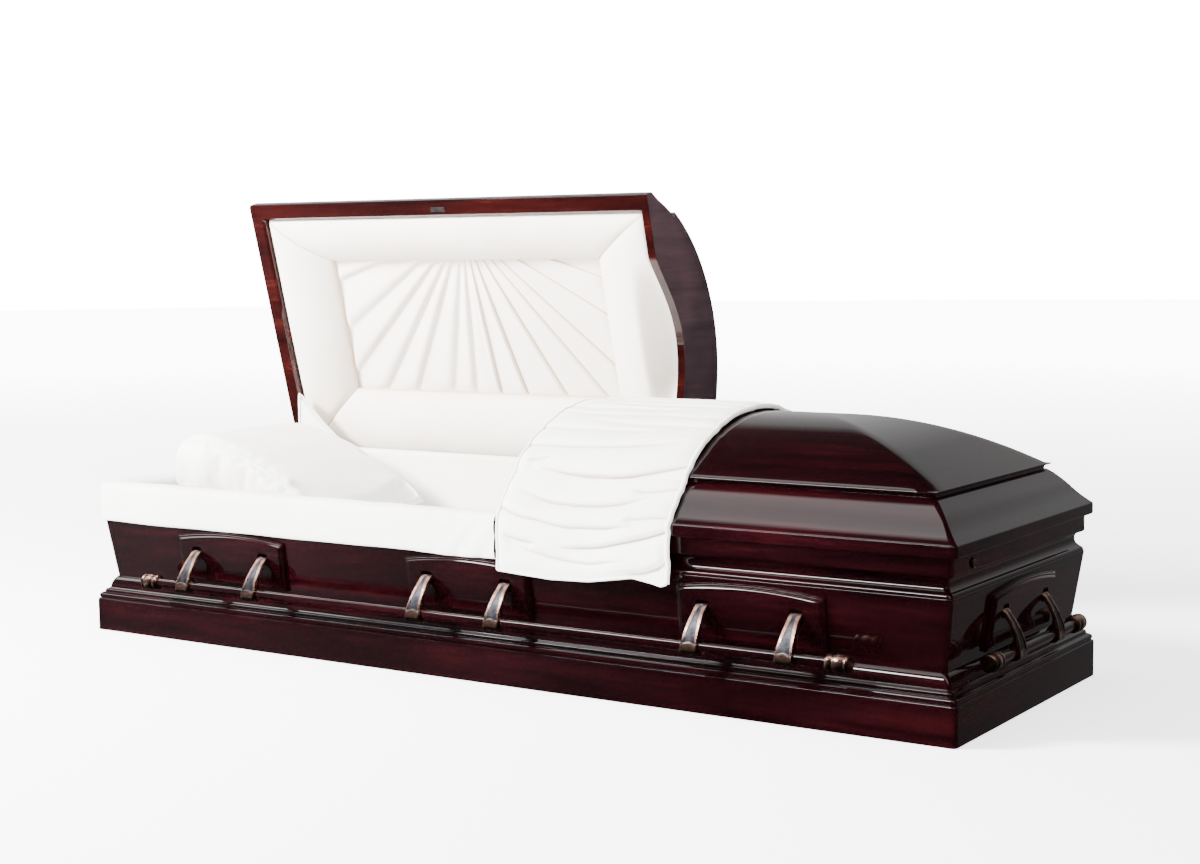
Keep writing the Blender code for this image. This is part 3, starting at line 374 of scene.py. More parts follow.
WOOD = wood_material(
    "mahogany_gloss", (0.0012, 0.0002, 0.0004), (0.0046, 0.0004, 0.0009), (0.0120, 0.0010, 0.0017), 1.0, 0.42
)
RIM_WOOD = wood_material(
    "mahogany_rim", (0.0035, 0.0004, 0.0004), (0.0125, 0.0010, 0.0010), (0.0280, 0.0036, 0.0028), 0.7, 0.42
)
# The header wood is a greyer, lighter copy of the mahogany: its colour is painted reflection of the grey
# sheen on the header's face.
HEADER_WOOD_PAINTED_REFLECTION = wood_material(
    "mahogany_header_painted_reflection", (0.0190, 0.0120, 0.0150), (0.0270, 0.0175, 0.0215), (0.0350, 0.0230, 0.0270), 0.6, 0.5
)
BOARD = board_material()
# The third colour of each cloth is the painted shade of its creases.
CREAM = cloth_material("cream_cloth", (0.86, 0.785, 0.71), (0.80, 0.715, 0.63), (0.40, 0.23, 0.10))
WHITE = cloth_material("white_cloth", (0.87, 0.845, 0.81), (0.81, 0.78, 0.74), (0.30, 0.21, 0.13))
COPPER = copper_material()
SILVER = silver_material()
STEEL = plain_metal("hinge_steel", (0.40, 0.38, 0.35), 0.35, 1.0)
BLACK = plain_metal("black_catch", (0.006, 0.005, 0.005), 0.5, 0.0)


# Mesh helpers

def add_mesh(name, points, faces, *materials):
    mesh = bpy.data.meshes.new(name)
    mesh.from_pydata([tuple(point) for point in points], [], faces)
    mesh.update()
    for item in materials:
        mesh.materials.append(item)
    made = bpy.data.objects.new(name, mesh)
    bpy.context.collection.objects.link(made)
    return made


def tidy_normals(piece):
    work = bmesh.new()
    work.from_mesh(piece.data)
    bmesh.ops.recalc_face_normals(work, faces=work.faces)
    work.to_mesh(piece.data)
    work.free()
    return piece


def rounded(piece, width=0.0006, segments=2, angle=32.0):
    """Small round-overs on the sharp edges, with flat faces that stay flat in the gloss."""
    tidy_normals(piece)
    piece.data.shade_smooth()
    edge = piece.modifiers.new("round_over", "BEVEL")
    edge.width = width
    edge.segments = segments
    edge.limit_method = "ANGLE"
    edge.angle_limit = math.radians(angle)
    edge.use_clamp_overlap = True
    shading = piece.modifiers.new("flat_faces", "WEIGHTED_NORMAL")
    shading.weight = 60
    return piece


def smooth_but_sharp(piece, degrees):
    """Smooth shading, but for the edges where two faces meet at more than the angle."""
    tidy_normals(piece)
    piece.data.shade_smooth()
    piece.data.set_sharp_from_angle(angle=math.radians(degrees))
    return piece


def loft(loops, closed=False):
    """Points and faces of a skin over loops of equal length, closed on itself or capped at both ends."""
    count = len(loops[0])
    points = [point for loop in loops for point in loop]
    faces = []
    for here in range(0, len(points) if closed else len(points) - count, count):
        there = (here + count) % len(points)
        for index in range(count):
            after = (index + 1) % count
            faces.append((here + index, here + after, there + after, there + index))
    if not closed:
        faces.append(tuple(range(count)))
        faces.append(tuple(range(len(points) - count, len(points))))
    return points, faces


def sheet_faces(rows, columns):
    """Quads of an open grid whose points run row by row."""
    faces = []
    for row in range(rows - 1):
        for column in range(columns - 1):
            here = row * columns + column
            faces.append((here, here + 1, here + columns + 1, here + columns))
    return faces


def curve_through(points, steps=4):
    """Points of a smooth curve through the given ones."""
    made = []
    for index in range(len(points) - 1):
        before = points[max(index - 1, 0)]
        first, second = points[index], points[index + 1]
        after = points[min(index + 2, len(points) - 1)]
        for step in range(steps):
            t = step / steps
            point = []
            for a, b, c, d in zip(before, first, second, after):
                bend = (2 * a - 5 * b + 4 * c - d) * t * t
                twist = (3 * b - a - 3 * c + d) * t**3
                point.append(0.5 * (2 * b + (c - a) * t + bend + twist))
            made.append(tuple(point))
    made.append(tuple(points[-1]))
    return made


def along(line, count):
    """The line resampled at an even spacing."""
    line = np.array(line, float)
    steps = np.linalg.norm(np.diff(line, axis=0), axis=1)
    reach = np.concatenate([[0.0], np.cumsum(steps)])
    wanted = np.linspace(0.0, reach[-1], count)
    return np.stack([np.interp(wanted, reach, line[:, part]) for part in range(line.shape[1])], axis=1)


def tube(name, line, radius, material, sides=10, spacing=0.006):
    """A closed round cord of cloth along a line."""
    line = np.array(line, float)
    length = np.linalg.norm(np.diff(line, axis=0), axis=1).sum()
    line = along(line, max(int(length / spacing), 4))
    ways = np.gradient(line, axis=0)
    loops = []
    side = Vector((0.0, 0.0, 1.0))
    for point, way in zip(line, ways):
        way = Vector(way).normalized()
        side = (side - way * side.dot(way)).normalized()
        up = way.cross(side)
        loop = []
        for step in range(sides):
            turn = 2 * math.pi * step / sides
            loop.append(Vector(point) + radius * (math.cos(turn) * side + math.sin(turn) * up))
        loops.append(loop)
    return smooth_but_sharp(add_mesh(name, *loft(loops), material), 60)


def about_hinge(angle):
    return Matrix.Translation(HINGE) @ Matrix.Rotation(angle, 4, "X") @ Matrix.Translation(-HINGE)


def opened(piece):
    """Turns a piece drawn on the closed head lid to where the open lid holds it."""
    piece.data.transform(about_hinge(-LID_OPEN_ANGLE))
    return piece


def closed_box(name):
    """Box of a node of the open head lid, as it lies when the lid is closed."""
    turn = about_hinge(LID_OPEN_ANGLE)
    points = np.array([turn @ vertex.co for vertex in frame["nodes"][name].data.vertices])
    return tuple(points.min(0)), tuple(points.max(0))


def paint_shade(piece, values):
    """Stores a value from 0 to 1 at each point, which the cloth reads as crease: painted shade in its creases
    and seams.
    """
    stored = piece.data.attributes.new("crease", "FLOAT", "POINT")
    stored.data.foreach_set("value", np.asarray(values, np.float32))


def place(piece, body, slot, *nodes):
    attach(piece, body)
    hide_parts(*nodes)
    return piece


def give_way(piece):
    """Gives a soft piece a mesh of its own."""
    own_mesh(piece)


def wavy(x, y, z):
    """Smooth noise at a spot, from about -1 to 1."""
    return noise.noise(Vector((x, y, z)))


def ripple(points, scale, height, seed):
    """Smooth noise at each point, from -height to height."""
    offset = Vector((seed * 7.31, seed * 3.17, seed * 1.93))
    return np.array([noise.noise(Vector(point) * scale + offset) * height for point in points])


# Mouldings that run round the casket

def corner_stations(sign_x, sign_y, start, end):
    stations = []
    for step in range(CORNER_STEPS + 1):
        turn = math.radians(start + (end - start) * step / CORNER_STEPS)
        x = sign_x * (HALF_LENGTH - CORNER_RADIUS + CORNER_RADIUS * math.cos(turn))
        y = sign_y * (HALF_WIDTH - CORNER_RADIUS + CORNER_RADIUS * math.sin(turn))
        stations.append((x, y, -sign_x, -sign_y))
    return stations


def ring_stations():
    corners = ((1, -1, 90, 0), (1, 1, 0, 90), (-1, 1, 90, 0), (-1, -1, 0, 90))
    return [station for corner in corners for station in corner_stations(*corner)]


def lid_stations(sign, open_x):
    stations = [(open_x, -HALF_WIDTH, 0, 1)]
    stations += corner_stations(sign, -1, 90, 0)
    stations += corner_stations(sign, 1, 0, 90)
    stations.append((open_x, HALF_WIDTH, 0, -1))
    return stations


def sweep(profile, stations, closed):
    loops = []
    for x, y, way_x, way_y in stations:
        loops.append([(x + way_x * inset, y + way_y * inset, z) for inset, z in profile])
    return loft(loops, closed)


def raised(run, height):
    """Insets and heights of a run, with its heights taken from another height."""
    return [(inset, height + up) for inset, up in run]


def shell_inset(z):
    part = (z - SHELL_BOTTOM) / (SHELL_TOP - SHELL_BOTTOM)
    return SHELL_FOOT_INSET + part * (SHELL_HEAD_INSET - SHELL_FOOT_INSET)


def base_moulding():
    """Plinth board with a rounded top edge, two beads and a cove up to the sides."""
    edge = [(0.0, -0.0025), (0.0012, -0.0004), (0.0040, 0.0003)]
    lower_bead = [(0.0040, 0.0025), (0.0025, 0.0045), (0.0025, 0.0078), (0.0045, 0.0110)]
    lower_bead += [(0.0085, 0.0132), (0.0120, 0.0138)]
    upper_bead = [(0.0120, 0.0160), (0.0122, 0.0188), (0.0145, 0.0212), (0.0185, 0.0222)]
    cove = [(0.0205, 0.0245), (0.0215, 0.0310), (0.0245, 0.0385), (0.0290, 0.0455)]
    runs = [raised(run, BASE_HEIGHT) for run in (edge, lower_bead, upper_bead, cove)]
    runs[-1].append((SHELL_FOOT_INSET, SHELL_BOTTOM - TOUCH))
    profile = [(0.0, 0.0)]
    for run in runs:
        profile += curve_through(run, 3)
    profile += [(INNER_WALL_INSET, SHELL_BOTTOM - TOUCH), (INNER_WALL_INSET, 0.0)]
    made = add_mesh("base_moulding_fine", *sweep(profile, ring_stations(), True), WOOD)
    place(rounded(made, 0.0005), "casket", "mahogany_gloss", "base_moulding")


def body_shell():
    """Sloping sides with a rounded top edge."""
    edge = ((0.0002, -0.0042), (0.0012, -0.0012), (0.0042, 0.0))
    top = [(SHELL_HEAD_INSET + inset, SHELL_TOP + up) for inset, up in edge]
    profile = [(SHELL_FOOT_INSET, SHELL_BOTTOM)] + curve_through(top, 3)
    profile.append((SHELL_HEAD_INSET + WALL_THICKNESS, SHELL_TOP))
    profile.append((SHELL_FOOT_INSET + WALL_THICKNESS, SHELL_BOTTOM))
    made = add_mesh("body_shell_fine", *sweep(profile, ring_stations(), True), WOOD)
    place(rounded(made, 0.0005), "casket", "mahogany_gloss", "body_shell")


def cylinder_loops(centre, radius_at, sides=40):
    """Loops of a round bar along X. radius_at lists x and radius."""
    loops = []
    for x, radius in radius_at:
        loop = []
        for side in range(sides):
            turn = 2 * math.pi * side / sides
            loop.append((x, centre[0] + radius * math.cos(turn), centre[1] + radius * math.sin(turn)))
        loops.append(loop)
    return loops


def cut(piece, points, faces):
    """Takes the closed shape out of the piece."""
    cutter = add_mesh("cutter", points, faces)
    tidy_normals(cutter)
    tidy_normals(piece)
    step = piece.modifiers.new("cut", "BOOLEAN")
    step.operation = "DIFFERENCE"
    step.solver = "EXACT"
    step.object = cutter
    bpy.context.view_layer.update()
    graph = bpy.context.evaluated_depsgraph_get()
    result = bpy.data.meshes.new_from_object(piece.evaluated_get(graph))
    piece.modifiers.remove(step)
    piece.data = result
    bpy.data.objects.remove(cutter, do_unlink=True)


def box_loops(low, high):
    """Two loops of a plain box, for cutting."""
    loops = []
    for x in (low[0], high[0]):
        loops.append([(x, low[1], low[2]), (x, high[1], low[2]), (x, high[1], high[2]), (x, low[1], high[2])])
    return loops


def ledge_moulding():
    """Shoulder, hollow neck and upright band, with the lock hole and the catch's pocket."""
    shoulder = [(SHELL_HEAD_INSET + 0.0010, TOUCH), (0.0200, 0.0055), (0.0250, 0.0095)]
    shoulder += [(0.0300, 0.0165), (0.0315, 0.0250), (0.0290, 0.0325), (0.0230, 0.0364)]
    lip = [(0.0190, 0.0366), (BAND_INSET + 0.0006, 0.0376), (BAND_INSET, 0.0400)]
    profile = curve_through(raised(shoulder, SHELL_TOP), 4) + curve_through(raised(lip, SHELL_TOP), 3)
    profile += [
        (BAND_INSET, LEDGE_TOP - 0.0013),
        (BAND_INSET + 0.0013, LEDGE_TOP),
        (INNER_WALL_INSET, LEDGE_TOP),
        (INNER_WALL_INSET, SHELL_TOP + TOUCH),
    ]
    made = add_mesh("ledge_moulding_fine", *sweep(profile, ring_stations(), True), WOOD)
    face = HALF_LENGTH - BAND_INSET
    ends = [(face - PLUG_HOLE_DEPTH, PLUG_HOLE_RADIUS), (face + 0.01, PLUG_HOLE_RADIUS)]
    cut(made, *loft(cylinder_loops((PLUG_Y, PLUG_Z), ends)))
    low, high = closed_box("lid_catch")
    margin = 0.003
    pocket_depth = 0.009
    low = (low[0] - margin, low[1] - margin, LEDGE_TOP - pocket_depth)
    high = (high[0] + margin, high[1] + margin, LEDGE_TOP + 0.01)
    cut(made, *loft(box_loops(low, high)))
    place(rounded(made, 0.0004), "casket", "mahogany_gloss", "ledge_moulding")


def lock_plug():
    """Copper plug of the lid lock, with a rounded face and a turned groove."""
    face = HALF_LENGTH - BAND_INSET
    outs = (0.0022, 0.0034, 0.0040, 0.0036, 0.0040, 0.0042)
    radii = (0.0075, 0.0070, 0.0058, 0.0050, 0.0040, 0.0010)
    outline = [(face - PLUG_HOLE_DEPTH + TOUCH, 0.0075)]
    outline += [(face + out, radius) for out, radius in zip(outs, radii)]
    made = add_mesh("lock_plug_fine", *loft(cylinder_loops((PLUG_Y, PLUG_Z), outline, 28)), COPPER)
    place(rounded(made, 0.0002), "casket", "antique_copper", "lock_plug")


# Lids

class Dome:
    """A crown surface: a round arch across and a rounded slope at the end, which meet along two hips."""

    def __init__(self, inset, low, high):
        self.inset = inset
        self.low = low
        self.high = high
        self.half = HALF_WIDTH - inset
        rise = high - low
        self.radius = (self.half**2 + rise**2) / (2 * rise)

    def side(self, y):
        """Share of the rise that the arch reaches at y."""
        drop = self.radius - math.sqrt(max(self.radius**2 - y * y, 0.0))
        return 1 - drop / (self.high - self.low)

    def end(self, run):
        part = min(run / END_SLOPE_LENGTH, 1.0)
        return 1 - (1 - part) ** END_SLOPE_POWER

    def run_at(self, share):
        """Distance from the end where the slope reaches a share of the rise."""
        return END_SLOPE_LENGTH * (1 - (1 - share) ** (1 / END_SLOPE_POWER))

    def height(self, run, y):
        drops = (1 - self.side(y)) ** HIP_SHARPNESS + (1 - self.end(run)) ** HIP_SHARPNESS
        return self.low + (self.high - self.low) * max(1 - drops ** (1 / HIP_SHARPNESS), 0.0)

    def lines(self):
        """Values of y across the crown, from front to back."""
        return [self.half * (line / CROWN_LINES - 1) for line in range(2 * CROWN_LINES + 1)]

    def rows(self, sign, open_x):
        """Rows of points from the end to the opening. A row stands where each hip crosses a line."""
        end_x = sign * (HALF_LENGTH - self.inset)
        runs = [self.run_at(max(self.side(y), 0.0)) for y in self.lines()[: CROWN_LINES + 1]]
        rows = [[(end_x - sign * run, y, self.height(run, y)) for y in self.lines()] for run in runs]
        rows.append([(open_x, y, self.height(END_SLOPE_LENGTH, y)) for y in self.lines()])
        return rows


OUTER_DOME = Dome(CROWN_INSET, CROWN_EDGE, CROWN_TOP)
INNER_DOME = Dome(CROWN_SEAT_INSET, CROWN_EDGE - 0.0059, CROWN_TOP - CROWN_THICKNESS)


def crown(name, sign, open_x):
    """The top of a lid, with a thin lip that overhangs the groove below it."""
    points = []
    faces = []

    def grid(rows):
        start = len(points)
        across = len(rows[0])
        for row in rows:
            points.extend(row)
        for row in range(len(rows) - 1):
            for line in range(across - 1):
                a = start + row * across + line
                b, c, d = a + 1, a + across + 1, a + across
                if line == row and row < CROWN_LINES:
                    faces.extend([(a, b, c), (a, c, d)])
                elif line == across - 2 - row and row < CROWN_LINES:
                    faces.extend([(a, b, d), (b, c, d)])
                else:
                    faces.append((a, b, c, d))
        border = [start + (len(rows) - 1 - row) * across for row in range(len(rows))]
        border += [start + line for line in range(1, across)]
        border += [start + row * across + across - 1 for row in range(1, len(rows))]
        mouth = [start + (len(rows) - 1) * across + line for line in range(across)]
        return border, mouth

    def lip(border, inset, z):
        """A copy of the top's border, moved inwards and down."""
        made = []
        reach_x = HALF_LENGTH - inset
        reach_y = HALF_WIDTH - inset
        for index in border:
            x, y, _ = points[index]
            if abs(abs(x) - (HALF_LENGTH - CROWN_INSET)) < 1e-6:
                x = sign * reach_x
            at_edge = abs(abs(y) - OUTER_DOME.half) < 1e-6
            y = math.copysign(reach_y if at_edge else min(abs(y), reach_y), y)
            made.append(len(points))
            points.append((x, y, z))
        return made

    top_border, top_mouth = grid(OUTER_DOME.rows(sign, open_x))
    under_border, under_mouth = grid(INNER_DOME.rows(sign, open_x))
    loops = [top_border]
    loops.append(lip(top_border, CROWN_INSET - 0.0004, CROWN_EDGE - 0.0014))
    loops.append(lip(top_border, CROWN_INSET + 0.0008, CROWN_EDGE - 0.0027))
    loops.append(lip(top_border, GROOVE_INSET, CROWN_EDGE - 0.0044))
    loops.append(lip(top_border, GROOVE_INSET, INNER_DOME.low))
    loops.append(under_border)
    for first, second in zip(loops, loops[1:]):
        for index in range(len(first) - 1):
            faces.append((first[index], first[index + 1], second[index + 1], second[index]))
    front = [loop[0] for loop in loops]
    back = [loop[-1] for loop in loops]
    for line in range(len(top_mouth) - 1):
        a, b = top_mouth[line], top_mouth[line + 1]
        c, d = under_mouth[line + 1], under_mouth[line]
        if line == 0:
            faces.append((a, b, c, *reversed(front[1:])))
        elif line == len(top_mouth) - 2:
            faces.append((a, *back, d))
        else:
            faces.append((a, b, c, d))
    return smooth_but_sharp(add_mesh(name, points, faces, WOOD), 38)


def ogee_outline():
    """Outer edge of a lid from the foot of its rim up to the groove."""
    shares = [
        (0.0, 0.0), (0.11, 0.10), (0.233, 0.224), (0.363, 0.376), (0.527, 0.582), (0.678, 0.752),
        (0.815, 0.889), (0.93, 0.979), (1.0, 1.0),
    ]
    start = (RIM_INSET + 0.0015, LID_BOTTOM + RIM_HEIGHT + 0.002)
    across = GROOVE_INSET - start[0]
    up = PANEL_TOP - start[1]
    outline = [(RIM_INSET, LID_BOTTOM + 0.0015), (RIM_INSET, LID_BOTTOM + RIM_HEIGHT)]
    points = [(start[0] + across * first, start[1] + up * second) for first, second in shares]
    outline += curve_through(points, 4)
    return outline


def lid_frame(name, sign, open_x):
    """Rim and lower panel of a lid. Its underside and inside take the redder wood."""
    seat = INNER_DOME.low - TOUCH
    outer = [(RIM_INSET + 0.0015, LID_BOTTOM)] + ogee_outline()
    outer.append((GROOVE_INSET, seat))
    inner = [
        (CROWN_SEAT_INSET, seat),
        (CROWN_SEAT_INSET, PANEL_TOP - 0.0160),
        (RIM_INNER_INSET + 0.0265, PANEL_TOP - 0.0380),
        (RIM_INNER_INSET, LID_BOTTOM + RIM_HEIGHT + 0.0015),
        (RIM_INNER_INSET, LID_BOTTOM + 0.0050),
        (RIM_INNER_INSET - 0.0050, LID_BOTTOM),
    ]
    profile = outer + inner
    made = add_mesh(name, *sweep(profile, lid_stations(sign, open_x), False), WOOD, RIM_WOOD)
    for polygon in made.data.polygons:
        part = polygon.index % len(profile)
        polygon.material_index = 1 if part >= len(outer) - 1 else 0
    return rounded(made, 0.0007)


def section_outline():
    """The lid's outer outline across the casket, from front to back, over the groove and the crown."""
    rim = [(RIM_INSET + 0.0015, LID_BOTTOM)] + ogee_outline()
    front = [(-HALF_WIDTH + inset, z) for inset, z in rim]
    front.append((-HALF_WIDTH + GROOVE_INSET, CROWN_EDGE - 0.0044))
    front.append((-HALF_WIDTH + CROWN_INSET + 0.0015, CROWN_EDGE - 0.0029))
    arch = [(y, OUTER_DOME.height(END_SLOPE_LENGTH, y)) for y in OUTER_DOME.lines()]
    back = [(-y, z) for y, z in reversed(front)]
    return front + arch + back


def header_arch(y):
    """Rise of the header's lower edge above the lid's underside."""
    if abs(y) >= HEADER_ARCH_HALF:
        return 0.0
    return HEADER_ARCH_RISE * math.cos(math.pi / 2 * y / HEADER_ARCH_HALF) ** 1.2


def header(name, low_x, high_x):
    """Board across the open end of a lid, with an arched lower edge of redder wood, and a face whose greyer
    colour is painted reflection.
    """
    arch = []
    steps = 40
    for step in range(steps + 1):
        y = HEADER_ARCH_HALF * (1 - 2 * step / steps)
        arch.append((y, LID_BOTTOM + header_arch(y)))
    outline = section_outline()
    top = len(outline)
    outline += arch
    loops = [[(x, y, z) for y, z in outline] for x in (low_x, high_x)]
    made = add_mesh(name, *loft(loops), HEADER_WOOD_PAINTED_REFLECTION, RIM_WOOD)
    for polygon in made.data.polygons[:-2]:
        polygon.material_index = 1 if polygon.index >= top - 1 else 0
    return rounded(made, 0.0010, 3)


def lids():
    head_x = LID_SPLIT - HEADER_THICKNESS - TOUCH
    foot_x = FOOT_HEADER_X + HEADER_THICKNESS + TOUCH
    for name, sign, open_x in (("head", -1, head_x), ("foot", 1, foot_x)):
        low_x = LID_SPLIT - HEADER_THICKNESS if sign < 0 else FOOT_HEADER_X
        pieces = {
            "frame": lid_frame(f"{name}_lid_frame_fine", sign, open_x),
            "crown": crown(f"{name}_lid_crown_fine", sign, open_x),
            "header": header(f"{name}_lid_header_fine", low_x, low_x + HEADER_THICKNESS),
        }
        for part, piece in pieces.items():
            if sign < 0:
                opened(piece)
            place(piece, f"{name}_lid", "mahogany_gloss", f"{name}_lid_{part}")


def lid_catch():
    """Black hook plate under the front of the head lid's rim."""
    low, high = closed_box("lid_catch")
    plate = box_loops((low[0], low[1], high[2] - 0.0022), high)
    made = add_mesh("lid_catch_plate", *loft(plate), BLACK)
    place(opened(rounded(made, 0.0007, 3)), "head_lid", "black_catch", "lid_catch")
    middle = (low[1] + high[1]) / 2
    for number, x in enumerate((low[0] + 0.008, high[0] - 0.010), 1):
        hook = box_loops((x - 0.004, middle - 0.0022, low[2]), (x + 0.004, middle + 0.0022, high[2] - 0.002))
        piece = add_mesh(f"lid_catch_hook_{number}", *loft(hook), BLACK)
        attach(opened(rounded(piece, 0.0008, 3)), "head_lid")


# Plaques and swing bars

def plaque_outline(shrink):
    half = PLAQUE_HALF_WIDTH - shrink
    low = PLAQUE_LOW + shrink
    steps = 28
    outline = [(-half, low), (half, low)]
    for step in range(steps + 1):
        across = 1 - 2 * step / steps
        rise = (PLAQUE_PEAK - PLAQUE_CORNER) * (1 - across * across)
        outline.append((half * across, PLAQUE_CORNER + rise - shrink))
    return outline


def plaque(name):
    """An arched board with a stepped edge and two slots, drawn on the front side at x = 0."""
    layers = [
        (0.0, TOUCH),
        (0.0, 0.0060), (0.0028, 0.0072), (0.0034, 0.0086), (0.0062, 0.0086), (0.0070, 0.0098),
        (0.0095, PLAQUE_THICKNESS),
    ]
    loops = []
    for shrink, out in layers:
        forward = out * math.cos(SHELL_SLOPE)
        down = out * math.sin(SHELL_SLOPE)
        outline = plaque_outline(shrink)
        loops.append([(x, -HALF_WIDTH + shell_inset(z) - forward, z - down) for x, z in outline])
    board = add_mesh(name, *loft(loops), WOOD)
    face_y = -HALF_WIDTH + shell_inset(PIVOT_Z) - PLAQUE_THICKNESS
    half = SLOT_HALF_WIDTH
    slot = [(-half, -SLOT_DOWN), (half, -SLOT_DOWN), (half, SLOT_UP / 2)]
    slot += [(0.7 * half, SLOT_UP), (-0.7 * half, SLOT_UP), (-half, SLOT_UP / 2)]
    for side in (-1, 1):
        outline = [(side * ARM_SPACING / 2 + x, PIVOT_Z + z) for x, z in slot]
        cut(board, *loft([[(x, y, z) for x, z in outline] for y in (face_y - 0.01, face_y + SLOT_DEPTH)]))
    return rounded(board, 0.0005)


def pivot_point():
    return Vector((0.0, -HALF_WIDTH + PIVOT_INSET, PIVOT_Z))


def bar_centre(bar_out, bar_z):
    return Vector((0.0, -HALF_WIDTH - bar_out, bar_z)) - pivot_point()


def closed_curve(points, steps):
    """A smooth closed curve through the points."""
    count = len(points)
    made = curve_through([points[-1], *points, points[0], points[1]], steps)
    return made[steps : steps * (count + 1)]


def arm(name, bar_out, bar_z):
    """A bowed strap that widens to a collar round the bar, with raised copper edges round a pewter face."""
    pivot = Vector((-PIVOT_INSET, PIVOT_Z))
    down = Vector((bar_out, bar_z)) - pivot
    reach = down.length
    way = down / reach
    outward = Vector((-way.y, way.x))
    # Share of the way from the pivot to the bar, and distance outwards: the outer side, then the inner side
    outer = [
        (-0.035, 0.0045), (0.040, 0.0072), (0.160, 0.0085), (0.320, 0.0095), (0.500, 0.0108),
        (0.680, 0.0128), (0.850, 0.0148), (0.980, 0.0155), (1.090, 0.0140), (1.170, 0.0100),
        (1.215, 0.0030),
    ]
    inner = [
        (1.200, -0.0050), (1.130, -0.0110), (1.000, -0.0145), (0.880, -0.0120), (0.800, -0.0050),
        (0.720, 0.0030), (0.550, 0.0045), (0.350, 0.0030), (0.180, 0.0010), (0.070, -0.0025),
        (0.020, -0.0042), (-0.040, -0.0030), (-0.055, 0.0015),
    ]
    steps = 4
    shape = closed_curve(outer + inner, steps)
    # The pewter face lies between these points of the shape, and ends in a chevron over the bar
    face_first, face_last = 2, 7 * steps + 2
    top_edge, foot_edge, recess, chevron = 0.0086, 0.0040, 0.0010, 0.070
    chevron_at, chevron_spread = 1.04, 0.10
    flare_size, flare_at, flare_spread = 0.0012, 0.02, 0.10
    # Each station has its side, the share of the edge's width, a little more of it, and how deep it is sunk
    right = [(1.0, 0.0, 0.0, 0.0008), (1.0, 0.0, 0.0007, 0.0)]
    right += [(1.0, 1.0, 0.0, 0.0), (1.0, 1.0, 0.0007, recess)]
    stations = [(-side, *rest) for side, *rest in right]
    stations += [(0.0, 0.0, 0.0, recess), *reversed(right)]
    loops = []
    for side, edges, extra, sunk in stations:
        loop = []
        for index, (part, off) in enumerate(shape):
            if sunk == recess:
                off -= recess if face_first < index < face_last else 0.0
                if index <= face_last + steps:
                    near = math.exp(-(((part - chevron_at) / chevron_spread) ** 2))
                    part -= chevron * (1 - abs(side)) * near
            elif sunk:
                off -= sunk if index < steps * len(outer) else -sunk
            flare = flare_size * math.exp(-(((part - flare_at) / flare_spread) ** 2))
            half = ARM_TOP_WIDTH / 2 + (ARM_FOOT_WIDTH - ARM_TOP_WIDTH) / 2 * part + flare
            share = min(max(part, 0.0), 1.0)
            bow = ARM_BOW * math.sin(math.pi * share)
            spot = pivot + way * part * reach + outward * (off + bow)
            edge = top_edge + (foot_edge - top_edge) * share
            loop.append((side * (half - edges * edge - extra), -HALF_WIDTH - spot.x, spot.y))
        loops.append(loop)
    strap = add_mesh(name, *loft(loops), COPPER, SILVER)
    for polygon in strap.data.polygons[:-2]:
        band, index = divmod(polygon.index, len(shape))
        polygon.material_index = 1 if 3 <= band <= 4 and face_first <= index < face_last else 0
    smooth_but_sharp(strap, 42)
    strap.data.transform(Matrix.Translation(-pivot_point()))
    return strap


def tip(name, bar_out, bar_z):
    """A turned cap with two rings at the +X end of a bar, drawn with its inner face at x = 0."""
    profile = [
        (0.0, 0.0150), (0.0010, 0.0160), (0.0040, 0.0167), (0.0100, 0.0166), (0.0115, 0.0150),
        (0.0140, 0.0148), (0.0150, 0.0166), (0.0165, 0.0173), (0.0340, 0.0172), (0.0355, 0.0159),
        (0.0375, 0.0157), (0.0390, 0.0169), (0.0425, 0.0164), (0.0445, 0.0143),
        (TIP_LENGTH, 0.0100),
        (TIP_LENGTH, 0.0005),
    ]
    centre = bar_centre(bar_out, bar_z)
    cap = add_mesh(name, *loft(cylinder_loops((centre.y, centre.z), profile, 40)), COPPER)
    return smooth_but_sharp(cap, 50)


def bar(name, bar_out, bar_z, half_length):
    centre = bar_centre(bar_out, bar_z)
    reach = half_length - TIP_LENGTH - TOUCH
    ends = [(-reach, BAR_RADIUS), (reach, BAR_RADIUS)]
    rod = add_mesh(name, *loft(cylinder_loops((centre.y, centre.z), ends, 48)), WOOD)
    return smooth_but_sharp(rod, 50)


def copied(pattern, name, matrix):
    piece = pattern.copy()
    piece.name = name
    bpy.context.collection.objects.link(piece)
    piece.matrix_world = matrix
    bpy.context.view_layer.update()
    return piece


